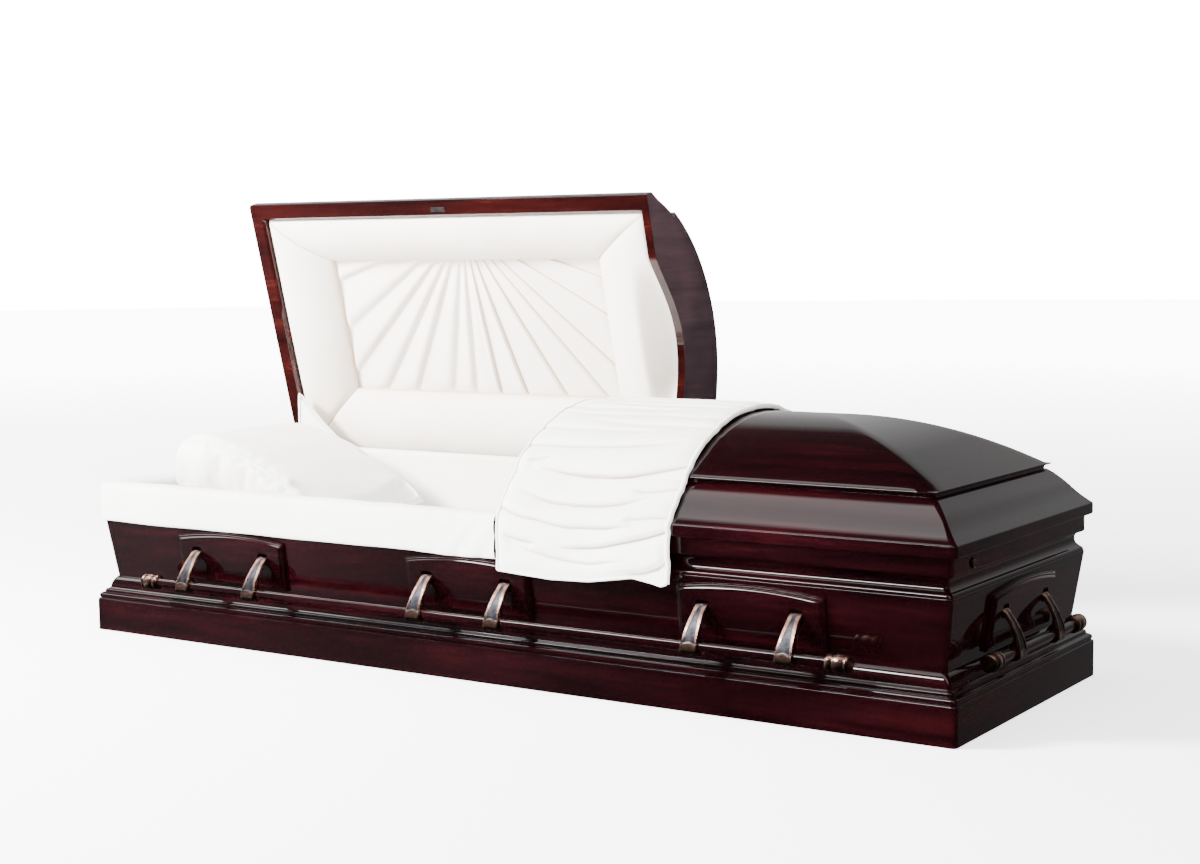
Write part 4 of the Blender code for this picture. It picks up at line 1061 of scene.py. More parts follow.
def handles():
    side_sizes = (SIDE_BAR_OUT, SIDE_BAR_Z, HANDLE_PITCH + ARM_SPACING / 2 + SIDE_BAR_PAST_ARM)
    end_sizes = (END_BAR_OUT, END_BAR_Z, ARM_SPACING / 2 + END_BAR_PAST_ARM)
    away = HALF_LENGTH - HALF_WIDTH
    sides = (
        ("front", 0.0, 0.0, side_sizes),
        ("back", math.pi, 0.0, side_sizes),
        ("foot", math.pi / 2, away, end_sizes),
        ("head", -math.pi / 2, away, end_sizes),
    )
    board = plaque("plaque_pattern")
    for side, angle, shift, sizes in sides:
        turn = Matrix.Rotation(angle, 4, "Z")
        axis = turn @ Matrix.Translation(pivot_point() + Vector((0.0, -shift, 0.0)))
        centres = (-HANDLE_PITCH, 0.0, HANDLE_PITCH) if shift == 0.0 else (0.0,)
        strap = arm("arm_pattern", *sizes[:2])
        cap = tip("tip_pattern", *sizes[:2])
        rod = bar("bar_pattern", *sizes)
        body = f"{side}_handle"
        places = [middle + step * ARM_SPACING for middle in centres for step in (-0.5, 0.5)]
        for number, x in enumerate(places, 1):
            piece = copied(strap, f"{side}_arm_{number}_fine", axis @ Matrix.Translation((x, 0, 0)))
            place(piece, body, "antique_copper", f"{side}_arm_{number}")
        inner = sizes[2] - TIP_LENGTH
        centre = bar_centre(*sizes[:2])
        half_turn = Matrix.Rotation(math.pi, 4, "Z")
        half_turn = Matrix.Translation(centre) @ half_turn @ Matrix.Translation(-centre)
        ends = (Matrix.Translation((-inner, 0, 0)) @ half_turn, Matrix.Translation((inner, 0, 0)))
        for number, end in enumerate(ends, 1):
            piece = copied(cap, f"{side}_tip_{number}_fine", axis @ end)
            place(piece, body, "antique_copper", f"{side}_tip_{number}")
        place(copied(rod, f"{side}_bar_fine", axis), body, "mahogany_gloss", f"{side}_bar")
        for number, centre_x in enumerate(centres, 1):
            name = f"{side}_plaque_{number}" if shift == 0.0 else f"{side}_plaque"
            piece = copied(board, f"{name}_fine", turn @ Matrix.Translation((centre_x, -shift, 0.0)))
            place(piece, "casket", "mahogany_gloss", name)
        for pattern in (strap, cap, rod):
            bpy.data.objects.remove(pattern, do_unlink=True)
    bpy.data.objects.remove(board, do_unlink=True)


# Soft goods

def simulated(piece, frames, grow, pressure, pinned, furthest):
    """Lets the cloth of a piece settle: it has a little more cloth than room, so that it wrinkles.

    The pinned weights, from 0 to 1, hold each point, and no point moves further than the furthest.
    """
    start = np.array([vertex.co for vertex in piece.data.vertices])
    group = piece.vertex_groups.new(name="held")
    for index, weight in enumerate(pinned):
        if weight > 0:
            group.add([index], float(weight), "REPLACE")
    step = piece.modifiers.new("settle", "CLOTH")
    cloth = step.settings
    cloth.quality = 6
    cloth.mass = 0.25
    cloth.tension_stiffness = 20
    cloth.compression_stiffness = 20
    cloth.shear_stiffness = 8
    cloth.bending_stiffness = 0.4
    cloth.tension_damping = 8
    cloth.compression_damping = 8
    cloth.shrink_min = -grow
    cloth.vertex_group_mass = "held"
    cloth.effector_weights.gravity = 0.0
    cloth.use_pressure = True
    cloth.uniform_pressure_force = pressure
    step.collision_settings.use_collision = False
    step.point_cache.frame_start = 1
    step.point_cache.frame_end = frames
    scene = bpy.context.scene
    for moment in range(1, frames + 1):
        scene.frame_set(moment)
    graph = bpy.context.evaluated_depsgraph_get()
    settled = piece.evaluated_get(graph).to_mesh()
    after = np.array([vertex.co for vertex in settled.vertices])
    piece.evaluated_get(graph).to_mesh_clear()
    piece.modifiers.remove(step)
    scene.frame_set(1)
    move = after - start
    size = np.linalg.norm(move, axis=1, keepdims=True)
    move *= np.minimum(1.0, furthest / np.maximum(size, 1e-9))
    for vertex, point in zip(piece.data.vertices, start + move):
        vertex.co = point


def smooth_cloth(piece):
    tidy_normals(piece)
    piece.data.shade_smooth()
    finer = piece.modifiers.new("finer", "SUBSURF")
    finer.levels = 1
    finer.render_levels = 1
    return piece


def single_layer(name, grid, material):
    """A one-layer cloth from rows of points."""
    points = [point for row in grid for point in row]
    piece = add_mesh(name, points, sheet_faces(len(grid), len(grid[0])), material)
    piece.data.shade_smooth()
    return piece


def sewn_cord(name, line, radius, body):
    """A cord of white cloth that moves with a body."""
    cord = tube(name, line, radius, WHITE)
    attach(cord, body)
    return cord


# Section of a roll, from the rim to the pleats: the share of the way in, and the share of the depth
ROLL_SECTION = [
    (0.00, 0.33), (0.00, 0.26), (0.04, 0.13), (0.14, 0.05), (0.30, 0.035), (0.48, 0.10), (0.66, 0.24),
    (0.82, 0.44), (0.94, 0.67), (1.00, 0.84), (1.00, 1.00),
]


def lid_rolls():
    """Four padded rolls round the pleated panel, sewn at mitred corners."""
    outer = (
        -HALF_LENGTH + RIM_INNER_INSET + 0.003,
        LID_SPLIT - HEADER_THICKNESS - 0.001,
        -HALF_WIDTH + RIM_INNER_INSET + 0.003,
        HALF_WIDTH - RIM_INNER_INSET - 0.003,
    )
    inner = (PANEL_LOW_X, PANEL_HIGH_X, PANEL_FRONT_Y, PANEL_BACK_Y)
    section = curve_through(ROLL_SECTION, 4) + [(0.22, 0.90), (0.05, 0.55)]
    along_x, along_y = 84, 40
    painted = []
    loops = []
    for share, depth in section:
        low_x, high_x, front, back = (a + share * (b - a) for a, b in zip(outer, inner))
        corners = [(low_x, front), (high_x, front), (high_x, back), (low_x, back)]
        loop = []
        for side, steps in enumerate((along_x, along_y, along_x, along_y)):
            start = Vector(corners[side])
            end = Vector(corners[(side + 1) % 4])
            length = (end - start).length
            for step in range(steps):
                part = 0.5 - 0.5 * math.cos(math.pi * step / steps)
                part = 0.6 * part + 0.4 * step / steps
                spot = start.lerp(end, part)
                seam = min(part, 1 - part) * length
                swell = math.sin(math.pi * min(share, 1.0)) ** 0.5 if 0 < share < 1 else 0.0
                z = LID_BOTTOM + (PANEL_DEPTH - TOUCH) * depth
                z += 0.0060 * math.exp(-seam / 0.010) * swell
                if side == 1 and share < 0.34:
                    arch = LID_BOTTOM + header_arch(spot.y) + 0.0025
                    fade = share / 0.34
                    z = max(z, arch + (z - arch) * fade * fade * (3 - 2 * fade))
                pucker = wavy(spot.x * 30, spot.y * 30, 3.0) * 0.0011
                pucker += wavy(spot.x * 9, spot.y * 9, 7.0) * 0.0016
                gather = wavy(part * length * 55, side * 9.0, share * 2.0)
                pucker += gather * 0.0008 * (math.exp(-((1 - share) / 0.12)) + math.exp(-share / 0.12))
                loop.append((spot.x, spot.y, z + pucker * (1 if 0 < share < 1 else 0)))
                # Painted shade along the mitred seams and where each roll meets the pleats.
                painted.append(0.75 if step == 0 else 0.55 * math.exp(-((1 - share) / 0.02)))
        loops.append(loop)
    piece = smooth_cloth(add_mesh("lid_rolls", *loft(loops, closed=True), CREAM))
    paint_shade(piece, painted)
    place(opened(piece), "head_lid", "ivory_cloth", "lid_lining_rolls")


def lid_panel():
    """Sunburst of flat pleats that spread from a point beyond the panel's front edge."""
    grow = 0.006
    low_x, high_x = PANEL_LOW_X - grow, PANEL_HIGH_X + grow
    front, back = PANEL_FRONT_Y - grow, PANEL_BACK_Y + grow
    centre = Vector((PANEL_LOW_X + 0.52 * (PANEL_HIGH_X - PANEL_LOW_X), PANEL_FRONT_Y - 0.086))
    pleats = 14
    first, last = math.radians(-69.0), math.radians(70.0)
    pitch = (last - first) / (pleats - 1)
    # Points across a pleat lie closest together beside its creases
    shares = (0.0, 0.02, 0.05, 0.12, 0.22, 0.36, 0.50, 0.64, 0.76, 0.86, 0.92, 0.955, 0.98)
    creases = []
    for index in range(-2, pleats + 2):
        wobble = wavy(index * 1.7, 0.4, 2.0) * 0.35
        creases.append(first + (index + wobble) * pitch)
    widest = math.atan2(centre.x - low_x, front - centre.y) * 0.999
    furthest = math.atan2(high_x - centre.x, front - centre.y) * 0.999
    turns = []
    for here, there in zip(creases, creases[1:]):
        for share in shares:
            turns.append((here + share * (there - here), share, here))
    inside = [item for item in turns if -widest < item[0] < furthest]
    inside = [(-widest, 0.5, -widest)] + inside + [(furthest, 0.5, furthest)]
    steps = 44
    grid = []
    painted = []
    for turn, share, crease in inside:
        across, down = math.sin(turn), math.cos(turn)
        start = (front - centre.y) / down
        reaches = [(back - centre.y) / down]
        if across > 1e-6:
            reaches.append((high_x - centre.x) / across)
        elif across < -1e-6:
            reaches.append((low_x - centre.x) / across)
        end = max(min(reaches), start + 1e-5)
        row = []
        edge = 0.955 if turn > 0 else 0.80
        rise = share / edge if share <= edge else 1 - (share - edge) / (1 - edge)
        rise = rise * rise * (3 - 2 * rise) if turn <= 0 else rise**1.3
        # How strong the painted crease shade is: dark lines on the right half, faint on the left.
        line = 1.0 if turn > 0.05 else 0.22
        for step in range(steps + 1):
            reach = start + (end - start) * step / steps
            x = centre.x + across * reach
            y = centre.y + down * reach
            inside_edge = min((end - reach) / 0.025, (reach - start) / 0.010 + 0.3, 1.0)
            height = 0.0092 * rise * min(reach / 0.22, 1.0) * max(inside_edge, 0.0)
            height += wavy(x * 7, y * 7, 5.0) * 0.0012
            height += wavy(turn * 30, reach * 2.5, 5.0) * 0.0006
            row.append((x, y, LID_BOTTOM + PANEL_DEPTH - 0.0008 - height))
            # Painted shade along each crease, fading out towards the fan's centre.
            near = max(1 - share / 0.03, 0.0) + max((share - 0.975) / 0.025, 0.0)
            painted.append(min(line * near, 1.0) * min(reach / 0.12, 1.0))
        grid.append(row)
    piece = single_layer("lid_pleats", grid, CREAM)
    paint_shade(piece, painted)
    place(opened(piece), "head_lid", "ivory_cloth", "lid_lining_panel")


def lining_top(x):
    """Height of the back lining, which rises to a peak at the head corner."""
    start = -HALF_LENGTH + INNER_WALL_INSET + 0.18
    end = -HALF_LENGTH + LINING_INSET + 0.014
    part = min(max((start - x) / (start - end), 0.0), 1.0)
    return BACK_LINING_TOP + (BACK_CORNER_TOP - BACK_LINING_TOP) * part**1.25


def lining_profile(top, puff):
    outer = LINING_INSET
    inner = outer + LINING_THICKNESS
    middle = (outer + inner) / 2
    half = LINING_THICKNESS / 2
    profile = [(outer, LINING_LOW)]
    turns = 8
    for step in range(turns + 1):
        turn = math.pi * (1 - step / turns)
        profile.append((middle + half * math.cos(turn), top - 0.010 + 0.010 * math.sin(turn)))
    for part in (0.2, 0.4, 0.6, 0.8):
        z = top - 0.010 + (LINING_LOW - top + 0.010) * part
        profile.append((inner + puff * math.sin(math.pi * part), z))
    profile.append((inner, LINING_LOW))
    return profile


def body_lining():
    """Padded cloth on the inner walls, low at the front and standing up along the back."""
    open_x = LID_SPLIT - 0.012
    corner_x = -HALF_LENGTH
    stations = []
    front_steps = 30
    for step in range(front_steps):
        x = open_x + (corner_x - open_x) * step / front_steps
        stations.append((x, -HALF_WIDTH, 0, 1, LINING_TOP))
    stations.append((corner_x, -HALF_WIDTH, 1, 1, LINING_TOP))
    head_steps = 16
    for step in range(1, head_steps):
        y = -HALF_WIDTH + (2 * HALF_WIDTH - 0.012) * step / head_steps
        stations.append((corner_x, y, 1, 0, LINING_TOP))
    stations.append((corner_x, HALF_WIDTH - 0.012, 1, -1, LINING_TOP))
    stations.append((corner_x, HALF_WIDTH - 0.002, 1, -1, BACK_CORNER_TOP - 0.004))
    stations.append((corner_x + 0.004, HALF_WIDTH, 1, -1, BACK_CORNER_TOP))
    back_low = corner_x + INNER_WALL_INSET + 0.012
    back_steps = 60
    for step in range(back_steps + 1):
        x = back_low + (open_x - back_low) * step / back_steps
        stations.append((x, HALF_WIDTH, 0, -1, lining_top(x)))
    loops = []
    for number, (x, y, way_x, way_y, top) in enumerate(stations):
        puff = 0.0030 + 0.0018 * wavy(number * 0.4, 1.0, 4.0)
        loop = []
        for inset, z in lining_profile(top, puff):
            soft = wavy(x * 14, y * 14, z * 14) * 0.0010
            loop.append((x + way_x * (inset + soft), y + way_y * (inset + soft), z))
        loops.append(loop)
    piece = smooth_cloth(add_mesh("lining_pads", *loft(loops), WHITE))
    place(piece, "casket", "ivory_cloth", "body_lining")
    give_way(piece)
    y = HALF_WIDTH - LINING_INSET - 0.5 * LINING_THICKNESS
    line = [(open_x, y, BACK_LINING_TOP)]
    count = 90
    for step in range(count + 1):
        x = open_x + (back_low - open_x) * step / count
        line.append((x, y, lining_top(x) + 0.0005))
    line += [(back_low - 0.001, y, BACK_CORNER_TOP - 0.02), (back_low - 0.001, y, BACK_CORNER_TOP - 0.09)]
    cord = sewn_cord("lining_piping", line, 0.0026, "casket")
    give_way(cord)


def apron_stations():
    """Plan stations of the apron: along the front, round the head corner and along the head end."""
    stations = []
    corner = 0.028
    steps = 110
    for step in range(steps):
        x = APRON_END_X + (-HALF_LENGTH + corner - APRON_END_X) * step / steps
        stations.append((x, -HALF_WIDTH, 0.0, 1.0))
    turns = 14
    for step in range(turns + 1):
        turn = math.pi / 2 * step / turns
        x = -(HALF_LENGTH - corner + corner * math.sin(turn))
        y = -(HALF_WIDTH - corner + corner * math.cos(turn))
        stations.append((x, y, math.sin(turn), math.cos(turn)))
    steps = 60
    start = -HALF_WIDTH + corner
    end = HALF_WIDTH - 0.092
    for step in range(1, steps + 1):
        stations.append((-HALF_LENGTH, start + (end - start) * step / steps, 1.0, 0.0))
    return stations


def apron():
    """Cloth that comes up from inside, over the ledge and down outside, with a tucked hem."""
    outline = [
        (0.0150, APRON_LOW + 0.0005),
        (0.0110, APRON_LOW),
        (0.0075, APRON_LOW + 0.006),
        (0.0055, APRON_LOW + 0.022),
        (0.0048, APRON_LOW + 0.048),
        (0.0052, LEDGE_TOP - 0.004),
        (0.0085, LEDGE_TOP + 0.0085),
        (0.0190, LEDGE_TOP + 0.0150),
        (0.0330, LEDGE_TOP + 0.0165),
        (0.0460, LEDGE_TOP + 0.0145),
        (0.0620, LEDGE_TOP + 0.0080),
        (0.0735, LEDGE_TOP - 0.0060),
        (0.0775, LEDGE_TOP - 0.0300),
        (0.0765, LINING_TOP + 0.0180),
        (0.0640, LINING_TOP + 0.0030),
    ]
    profile = curve_through(outline, 3)
    grid = []
    reach = 0.0
    last = None
    painted = []
    for x, y, way_x, way_y in apron_stations():
        if last is not None:
            reach += math.dist(last, (x, y))
        last = (x, y)
        near_throw = math.exp(-(((x - 0.02) / 0.13) ** 2))
        row = []
        for index, (inset, z) in enumerate(profile):
            part = index / (len(profile) - 1)
            outside = max(1 - part / 0.42, 0.0)
            wave = wavy(reach * 6.0, 2.0, z * 2.0) * 0.0026
            wave += wavy(reach * 21.0, 5.0, z * 4.0) * 0.0011
            slant = (reach + 0.9 * (z - APRON_LOW)) / 0.062 + 0.3
            fold = (slant - math.floor(slant)) ** 0.7
            valley = 1 - (4 * fold * (1 - fold)) ** 0.6
            wave += near_throw * 0.0090 * (valley - 0.5)
            # Painted shade in the fold valleys near the throw, on the outside.
            painted.append(0.5 * near_throw * outside * max(valley - 0.55, 0.0))
            wave *= 0.35 + 0.65 * outside
            sag = wavy(reach * 5.0, 9.0, 1.0) * 0.0040 * outside
            top = math.exp(-(((part - 0.58) / 0.16) ** 2))
            lift = wavy(reach * 13.0, 3.0, part * 3.0) * 0.0016 * top
            row.append((x + way_x * (inset + wave), y + way_y * (inset + wave), z + sag + lift))
        grid.append(row)
    piece = single_layer("apron_cloth", grid, WHITE)
    paint_shade(piece, painted)
    place(piece, "casket", "ivory_cloth", "apron")
    give_way(piece)


def mattress():
    """Bed cushion with rounded edges that bends up at the head."""
    head = -HALF_LENGTH + INNER_WALL_INSET + LINING_THICKNESS + 0.012
    low, high = BED_TOP, BED_TOP + MATTRESS_THICKNESS
    half = BED_HALF_WIDTH
    section = []
    around = 64
    for step in range(around):
        turn = 2 * math.pi * (step + 0.5) / around
        across = math.copysign(abs(math.cos(turn)) ** 0.22, math.cos(turn))
        up = math.copysign(abs(math.sin(turn)) ** 0.5, math.sin(turn))
        section.append((half * across, (low + high) / 2 + (high - low) / 2 * up))
    loops = []
    steps = 90
    for step in range(steps + 1):
        x = head - 2 * head * step / steps
        lift = max(HEADREST_X - x, 0.0) * HEADREST_SLOPE
        end = min(step, steps - step)
        narrow = 1.0 if end > 1 else 0.985 - 0.03 * (1 - end)
        loop = []
        for y, z in section:
            soft = wavy(x * 6, y * 6, 2.0) * 0.0028
            soft += wavy(x * 22, y * 15, 4.0) * 0.0010
            loop.append((x, y * narrow, z + lift + (soft - 0.002 if z > low + 0.04 else 0.0)))
        loops.append(loop)
    piece = smooth_cloth(add_mesh("bed_cushion", *loft(loops), WHITE))
    place(piece, "casket", "ivory_cloth", "mattress")


def pillow():
    """Wedge pillow at the head: a piped top over a crumpled gusset, settled as cloth."""
    wall = -HALF_LENGTH + INNER_WALL_INSET
    # Distance from the head's wall, lift above the bed, thickness, and share of the width
    shape = [
        (0.0485, 0.0380, 0.050, 0.86), (0.0560, 0.0180, 0.100, 0.95), (0.0700, 0.0100, 0.129, 0.985),
        (0.1305, 0.0095, 0.143, 1.00), (0.2105, 0.0095, 0.135, 1.00), (0.3105, 0.0095, 0.108, 1.00),
        (0.4005, 0.0095, 0.071, 1.00), (0.4605, 0.0115, 0.040, 0.985), (0.4760, 0.0150, 0.024, 0.96),
        (0.4830, 0.0200, 0.012, 0.93),
    ]
    stations = along(curve_through(shape, 6), 72)
    around = 72
    loops = []
    for distance, lift, thick, wide in stations:
        x = wall + distance
        low = BED_TOP + MATTRESS_THICKNESS + max(HEADREST_X - x, 0.0) * HEADREST_SLOPE + lift
        loop = []
        for step in range(around):
            turn = 2 * math.pi * (step + 0.5) / around
            across = math.copysign(abs(math.cos(turn)) ** 0.30, math.cos(turn))
            up = math.copysign(abs(math.sin(turn)) ** 0.42, math.sin(turn))
            y = PILLOW_HALF_WIDTH * wide * across
            z = low + thick / 2 * (1 + up)
            loop.append((x, y, z))
        loops.append(loop)
    piece = add_mesh("pillow_cloth", *loft(loops), WHITE)
    tidy_normals(piece)
    points = np.array([vertex.co for vertex in piece.data.vertices])
    rough = ripple(points, 16.0, 0.0028, 1) + ripple(points, 38.0, 0.0012, 2)
    turns = 2 * math.pi * (np.arange(len(points)) % around + 0.5) / around
    gusset = np.clip(np.cos(2 * turns), 0.0, 1.0) * np.clip((wall + 0.42 - points[:, 0]) / 0.12, 0.0, 1.0)
    rough += gusset * (ripple(points * (1.0, 1.0, 0.6), 15.0, 0.0095, 3) - 0.001)
    for vertex, push in zip(piece.data.vertices, rough):
        vertex.co += vertex.normal * push
    top_right, top_left = around // 8, around // 2 - around // 8 - 1
    seams = set()
    for row in range(len(loops)):
        for column in (top_right, top_left, around - 1 - top_right, around - 1 - top_left):
            seams.add(row * around + column)
    floor = np.array([1.0 if index in seams else 0.0 for index in range(len(points))])
    for index, point in enumerate(points):
        column = index % around
        if column > around // 2 + 2 and column < around - 3:
            floor[index] = 1.0
    simulated(piece, frames=18, grow=0.035, pressure=3.0, pinned=floor, furthest=0.008)
    rest = [tuple(vertex.co) for vertex in piece.data.vertices]
    smooth_cloth(piece)
    place(piece, "casket", "ivory_cloth", "pillow")
    give_way(piece)
    rows = len(loops)
    right = [rest[row * around + top_right] for row in range(1, rows - 1)]
    left = [rest[row * around + top_left] for row in range(1, rows - 1)]
    foot = [rest[(rows - 2) * around + column] for column in range(top_right, top_left + 1)]
    head = [rest[around + column] for column in range(top_left, top_right - 1, -1)]
    line = right + foot + list(reversed(left)) + head
    cord = sewn_cord("pillow_piping", line, 0.0042, "casket")
    give_way(cord)


def throw_line():
    """The line that the throw follows over the foot lid, from its front hem over the crest to the back."""
    front = -HALF_WIDTH + RIM_INSET
    outline = [(y, z) for y, z in section_outline() if not CROWN_EDGE - 0.012 < z < CROWN_EDGE - 0.001]
    outline = [(front, THROW_LOW_Z), (front, LEDGE_TOP)] + outline[2:]
    last = max(index for index, (y, z) in enumerate(outline) if z > LID_BOTTOM + 0.05)
    line = along(outline[: last + 1], 400)
    for _ in range(24):
        line[1:-1] = 0.25 * line[:-2] + 0.5 * line[1:-1] + 0.25 * line[2:]
    return line


def throw_creases(length):
    """Creases of the gathered throw.

    Each has the shares of the width where it starts and ends, how far up the cloth it lies at its start, in
    its middle and at its end, and its depth.
    """
    creases = [
        (0.00, 0.97, 0.274, 0.280, 0.304, 0.70), (0.05, 0.22, 0.229, 0.237, 0.243, 0.60),
        (0.08, 1.00, 0.229, 0.208, 0.243, 1.00), (0.04, 0.94, 0.168, 0.137, 0.180, 1.00),
        (0.73, 1.00, 0.175, 0.180, 0.190, 0.70), (0.00, 0.91, 0.121, 0.096, 0.115, 0.85),
        (0.74, 1.00, 0.113, 0.118, 0.127, 0.70), (0.02, 0.26, 0.077, 0.061, 0.062, 0.80),
        (0.34, 1.00, 0.054, 0.066, 0.103, 1.00), (0.06, 0.82, 0.060, 0.031, 0.044, 0.70),
        (0.75, 1.00, 0.004, 0.016, 0.044, 0.90),
    ]
    high = 0.335
    while high < length - 0.03:
        lean = wavy(high * 31.0, 2.0, 5.0)
        ends = max(0.6 * lean, 0.0), min(1.0 + 0.6 * lean, 1.0)
        spots = high + 0.008 * lean, high - 0.003, high - 0.008 * lean
        creases.append((*ends, *spots, 0.40 + 0.3 * abs(lean)))
        high += 0.034 + 0.02 * lean
    return creases


def crease_at(creases, u, v):
    """How deep the cloth dips at a spot, and how dark the painted shade of a crease line is there. Both run
    from 0 to 1.
    """
    dip = 0.0
    line = 0.0
    for first, last, low, middle, high, depth in creases:
        part = (u - first) / (last - first)
        if not 0.0 <= part <= 1.0:
            continue
        centre = low * (1 - part) * (1 - 2 * part) + 4 * middle * part * (1 - part)
        centre += high * part * (2 * part - 1)
        away = v - centre + 0.0025 * wavy(u * 6.0, low * 50.0, 2.0)
        if abs(away) > 0.07:
            continue
        free = min(part / 0.30 if first > 0.01 else 1.0, (1 - part) / 0.30 if last < 0.99 else 1.0, 1.0)
        depth *= free * free * (3 - 2 * free)
        width = 0.0055 if away > 0 else 0.017
        dip = max(dip, depth * math.exp(-abs(away) / width))
        line = max(line, depth * math.exp(-((away / 0.0019) ** 2)))
    return dip, line


def throw():
    """Gathered cloth over the head end of the foot lid, with its hems."""
    line = throw_line()
    ways = np.gradient(line, axis=0)
    normals = np.stack([-ways[:, 1], ways[:, 0]], axis=1)
    normals /= np.linalg.norm(normals, axis=1, keepdims=True)
    steps = np.linalg.norm(np.diff(line, axis=0), axis=1)
    reach = np.concatenate([[0.0], np.cumsum(steps)])
    length = reach[-1]
    hem_shares = (0.0, 0.32, 0.55, 0.80, 0.93, 0.97, 1.0)
    hem_drops = (0.0, -0.007, -0.004, 0.011, 0.004, 0.0, 0.004)
    cloth_width = 0.41
    columns = 112
    creases = throw_creases(length)
    grid = []
    painted = []
    for column in range(columns + 1):
        u = column / columns
        drop = np.interp(u, hem_shares, hem_drops)
        row = []
        side = min(u, 1 - u)
        for index, (spot, normal, v) in enumerate(zip(line, normals, reach)):
            dip, dark = crease_at(creases, u, v)
            gather = wavy(u * 3.0, v * 60.0, 3.0)
            small = 0.0016 * gather * math.exp(-side / 0.10)
            fade = min(side / 0.06, 1.0) ** 0.5 * min(v / 0.02, 1.0)
            soft = wavy(u * 3.5, v * 16.0, 6.0) * 0.0034
            away = cloth_width * (1 - u)
            pull = math.hypot(away, v)
            ray = wavy(math.atan2(v, away + 0.001) * 5.0, pull * 3.0, 7.0)
            soft += 0.0050 * ray * math.exp(-pull / 0.10) * min(pull / 0.03, 1.0)
            out = 0.0035 + 0.0135 * (1 - dip) * (0.40 + 0.60 * fade) + (small + soft) * min(v / 0.03, 1.0)
            hang = max(1 - v / 0.05, 0.0)
            x = THROW_LOW_X + (THROW_HIGH_X - THROW_LOW_X) * u
            x += 0.004 * wavy(v * 11.0, u * 2.0, 9.0) * (0.4 + 0.6 * side)
            row.append((x, spot[0] + normal[0] * out, spot[1] + normal[1] * out + drop * hang))
            # Painted shade along the crease lines and in the deepest dips.
            painted.append(min(0.85 * dark + 0.18 * max(dip - 0.45, 0.0), 1.0))
        grid.append(row)
    piece = single_layer("throw_cloth", grid, WHITE)
    paint_shade(piece, painted)
    place(piece, "foot_lid", "ivory_cloth", "overlay")
    left = []
    for spot in grid[0]:
        clear = Vector((0, spot[1], max(spot[2] - 0.33, 0.0))).normalized()
        left.append(Vector(spot) + 0.0018 * clear)
    right = [(x + 0.002, y, z) for x, y, z in grid[-1]]
    bottom = [row[0] for row in grid]
    edges = (("left", left, 0.0032), ("right", right, 0.0052), ("bottom", bottom, 0.0034))
    hems = [sewn_cord(f"throw_hem_{name}", edge, radius, "foot_lid").name for name, edge, radius in edges]


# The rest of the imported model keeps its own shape

def plain_pieces():
    finishes = {"bottom_board": BOARD, "bed_frame": BOARD}
    for part in ("body", "head", "foot"):
        finishes[f"hinge_{part}_leaf"] = STEEL
    for name, finish in finishes.items():
        mesh = frame["nodes"][name].data
        mesh.materials.clear()
        mesh.materials.append(finish)


# Studio

def softbox(name, position, target, width, height, power):
    light = bpy.data.lights.new(name, "AREA")
    light.shape = "RECTANGLE"
    light.size = width
    light.size_y = height
    light.energy = power
    lamp = bpy.data.objects.new(name, light)
    lamp.location = position
    way = Vector(target) - Vector(position)
    lamp.rotation_euler = way.to_track_quat("-Z", "Y").to_euler()
    bpy.context.collection.objects.link(lamp)
    return lamp


def glowing(name, colour, near, far):
    """Paper that the light falls on, with a glow of its own that grows with distance."""
    made, tree, shader = new_material(name, colour, 0.9)
    tone = even_noise(tree, 0.5, 2.0, 0.5)
    low = tuple(0.985 * part for part in colour)
    shade = ramp(tree, tone, [(0.3, low), (0.7, colour)])
    tree.links.new(shade, shader.inputs["Base Color"])
    distance = node(tree, "ShaderNodeVectorMath", operation="LENGTH")
    tree.links.new(stretched(tree, (0.05, 0.05, 0.05)), distance.inputs[0])
    glow = ramp(tree, distance.outputs["Value"], [(0.10, (near, near, near)), (0.55, (1.0, 1.0, 1.0))])
    tree.links.new(glow, shader.inputs["Emission Color"])
    shader.inputs["Emission Strength"].default_value = far
    return made


def backdrop():
    """White paper that curves up far behind the casket. Only the camera sees it."""
    points = []
    around, high, radius = 48, 10, 28.0
    for ring in range(high + 1):
        lift = math.pi / 2 * ring / high
        for step in range(around):
            turn = 2 * math.pi * step / around
            reach = radius * math.cos(lift * 0.98)
            points.append((reach * math.cos(turn), reach * math.sin(turn), radius * math.sin(lift) - 0.02))
    faces = []
    for ring in range(high):
        for step in range(around):
            after = (step + 1) % around
            here = ring * around
            faces.append((here + step, here + after, here + around + after, here + around + step))
    dome = add_mesh("backdrop", points, faces, glowing("backdrop_paper", (0.9, 0.9, 0.9), 1.0, 11.0))
    dome.data.shade_smooth()
    dome.visible_diffuse = False
    dome.visible_glossy = False
    dome.visible_transmission = False
    dome.visible_shadow = False


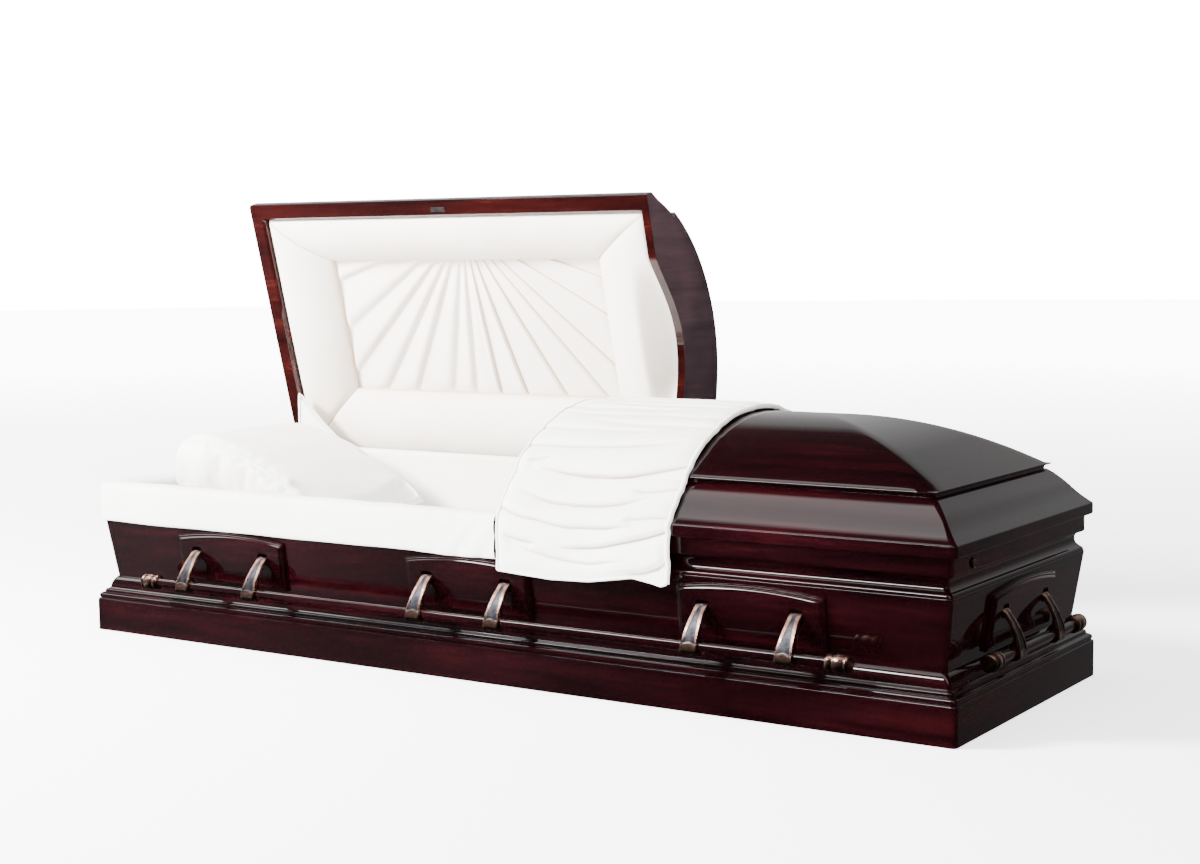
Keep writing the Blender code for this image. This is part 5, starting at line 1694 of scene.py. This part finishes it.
def studio():
    """Pale floor and background, a soft sky, a key light from the upper left and weaker fills."""
    floor = add_mesh("floor", [(-30, -30, 0), (30, -30, 0), (30, 30, 0), (-30, 30, 0)], [(0, 1, 2, 3)])
    floor.location.z = -0.0005
    floor.data.materials.append(glowing("floor_paper", (0.92, 0.92, 0.92), 0.20, 11.0))
    floor.visible_glossy = False
    backdrop()

    world = bpy.data.worlds.new("studio")
    bpy.context.scene.world = world
    world.use_nodes = True
    tree = world.node_tree
    coords = node(tree, "ShaderNodeTexCoord")
    parts = node(tree, "ShaderNodeSeparateXYZ")
    tree.links.new(coords.outputs["Generated"], parts.inputs[0])

    def band(part, stops):
        """Grey that follows one part of the direction, from -1 to 1."""
        share = maths(tree, "ADD", maths(tree, "MULTIPLY", parts.outputs[part], 0.5), 0.5)
        return ramp(tree, share, [(0.5 + 0.5 * place, (grey, grey, grey)) for place, grey in stops])

    def both(first, second, blend="MULTIPLY"):
        return mix_colour(tree, 1.0, first, second, blend)

    rise = band(2, [(-0.60, 0.05), (-0.14, 0.50), (0.0, 0.85), (0.20, 1.0), (0.52, 0.75), (0.62, 0.05)])
    behind = both(rise, band(1, [(-1.0, 0.05), (-0.3, 0.07), (0.45, 1.0)]))
    behind = both(behind, band(0, [(-0.60, 0.9), (-0.22, 0.34), (0.15, 0.50), (0.45, 0.03)]))
    strip = band(1, [(-0.44, 0.0), (-0.34, 2.2), (-0.12, 2.6), (-0.05, 0.0)])
    above = both(strip, band(2, [(0.55, 0.0), (0.78, 1.0)]))
    side = band(0, [(-1.0, 1.0), (-0.78, 0.9), (-0.50, 0.0)])
    glow = [(-0.46, 0.0), (-0.36, 0.45), (-0.24, 0.45), (-0.15, 0.10), (0.0, 0.10)]
    glow += [(0.15, 0.45), (0.40, 0.0)]
    left = both(side, band(2, glow))
    sky = both(both(behind, above, "ADD"), left, "ADD")
    background = tree.nodes["Background"]
    tree.links.new(sky, background.inputs["Color"])
    background.inputs["Strength"].default_value = 1.2

    # Name, place, target, width, height and power of each lamp, and whether the gloss mirrors it
    lamps = (
        ("key_box", (-1.7, -2.7, 3.4), (0.0, 0.0, 0.4), 2.6, 0.40, 160, True),
        ("left_side", (-3.6, -1.4, 2.3), (-0.2, -0.1, 0.3), 0.8, 2.0, 30, True),
        ("key_fill", (-3.2, -3.0, 3.0), (-0.2, 0.0, 0.4), 1.2, 1.2, 1900, False),
        ("front_fill", (3.4, -3.6, 2.4), (0.0, 0.0, 0.4), 2.0, 2.0, 300, False),
        ("top_fill", (-0.3, 0.2, 3.4), (-0.2, 0.0, 0.2), 3.0, 2.0, 90, False),
    )
    for *settings, mirrored in lamps:
        softbox(*settings).visible_glossy = mirrored


def camera():
    """Camera of the photograph, from its own fit."""
    yaw, pitch, roll = (math.radians(turn) for turn in CAMERA_TURNS)
    ahead = Vector((math.sin(yaw) * math.cos(pitch), math.cos(yaw) * math.cos(pitch), math.sin(pitch)))
    level = Vector((math.cos(yaw), -math.sin(yaw), 0.0))
    above = level.cross(ahead)
    right = math.cos(roll) * level + math.sin(roll) * above
    up = -math.sin(roll) * level + math.cos(roll) * above
    lens = bpy.data.cameras.new("photo_camera")
    lens.lens = CAMERA_LENS
    lens.sensor_width = 36.0
    lens.sensor_fit = "HORIZONTAL"
    lens.clip_end = 200.0
    holder = bpy.data.objects.new("photo_camera", lens)
    rows = Matrix((right, up, -ahead)).transposed().to_4x4()
    holder.matrix_world = Matrix.Translation(CAMERA_PLACE) @ rows
    bpy.context.collection.objects.link(holder)
    bpy.context.scene.camera = holder


def build():
    base_moulding()
    body_shell()
    ledge_moulding()
    lock_plug()
    lids()
    lid_catch()
    handles()
    plain_pieces()
    lid_rolls()
    lid_panel()
    body_lining()
    apron()
    mattress()
    pillow()
    throw()
    studio()
    camera()


build()
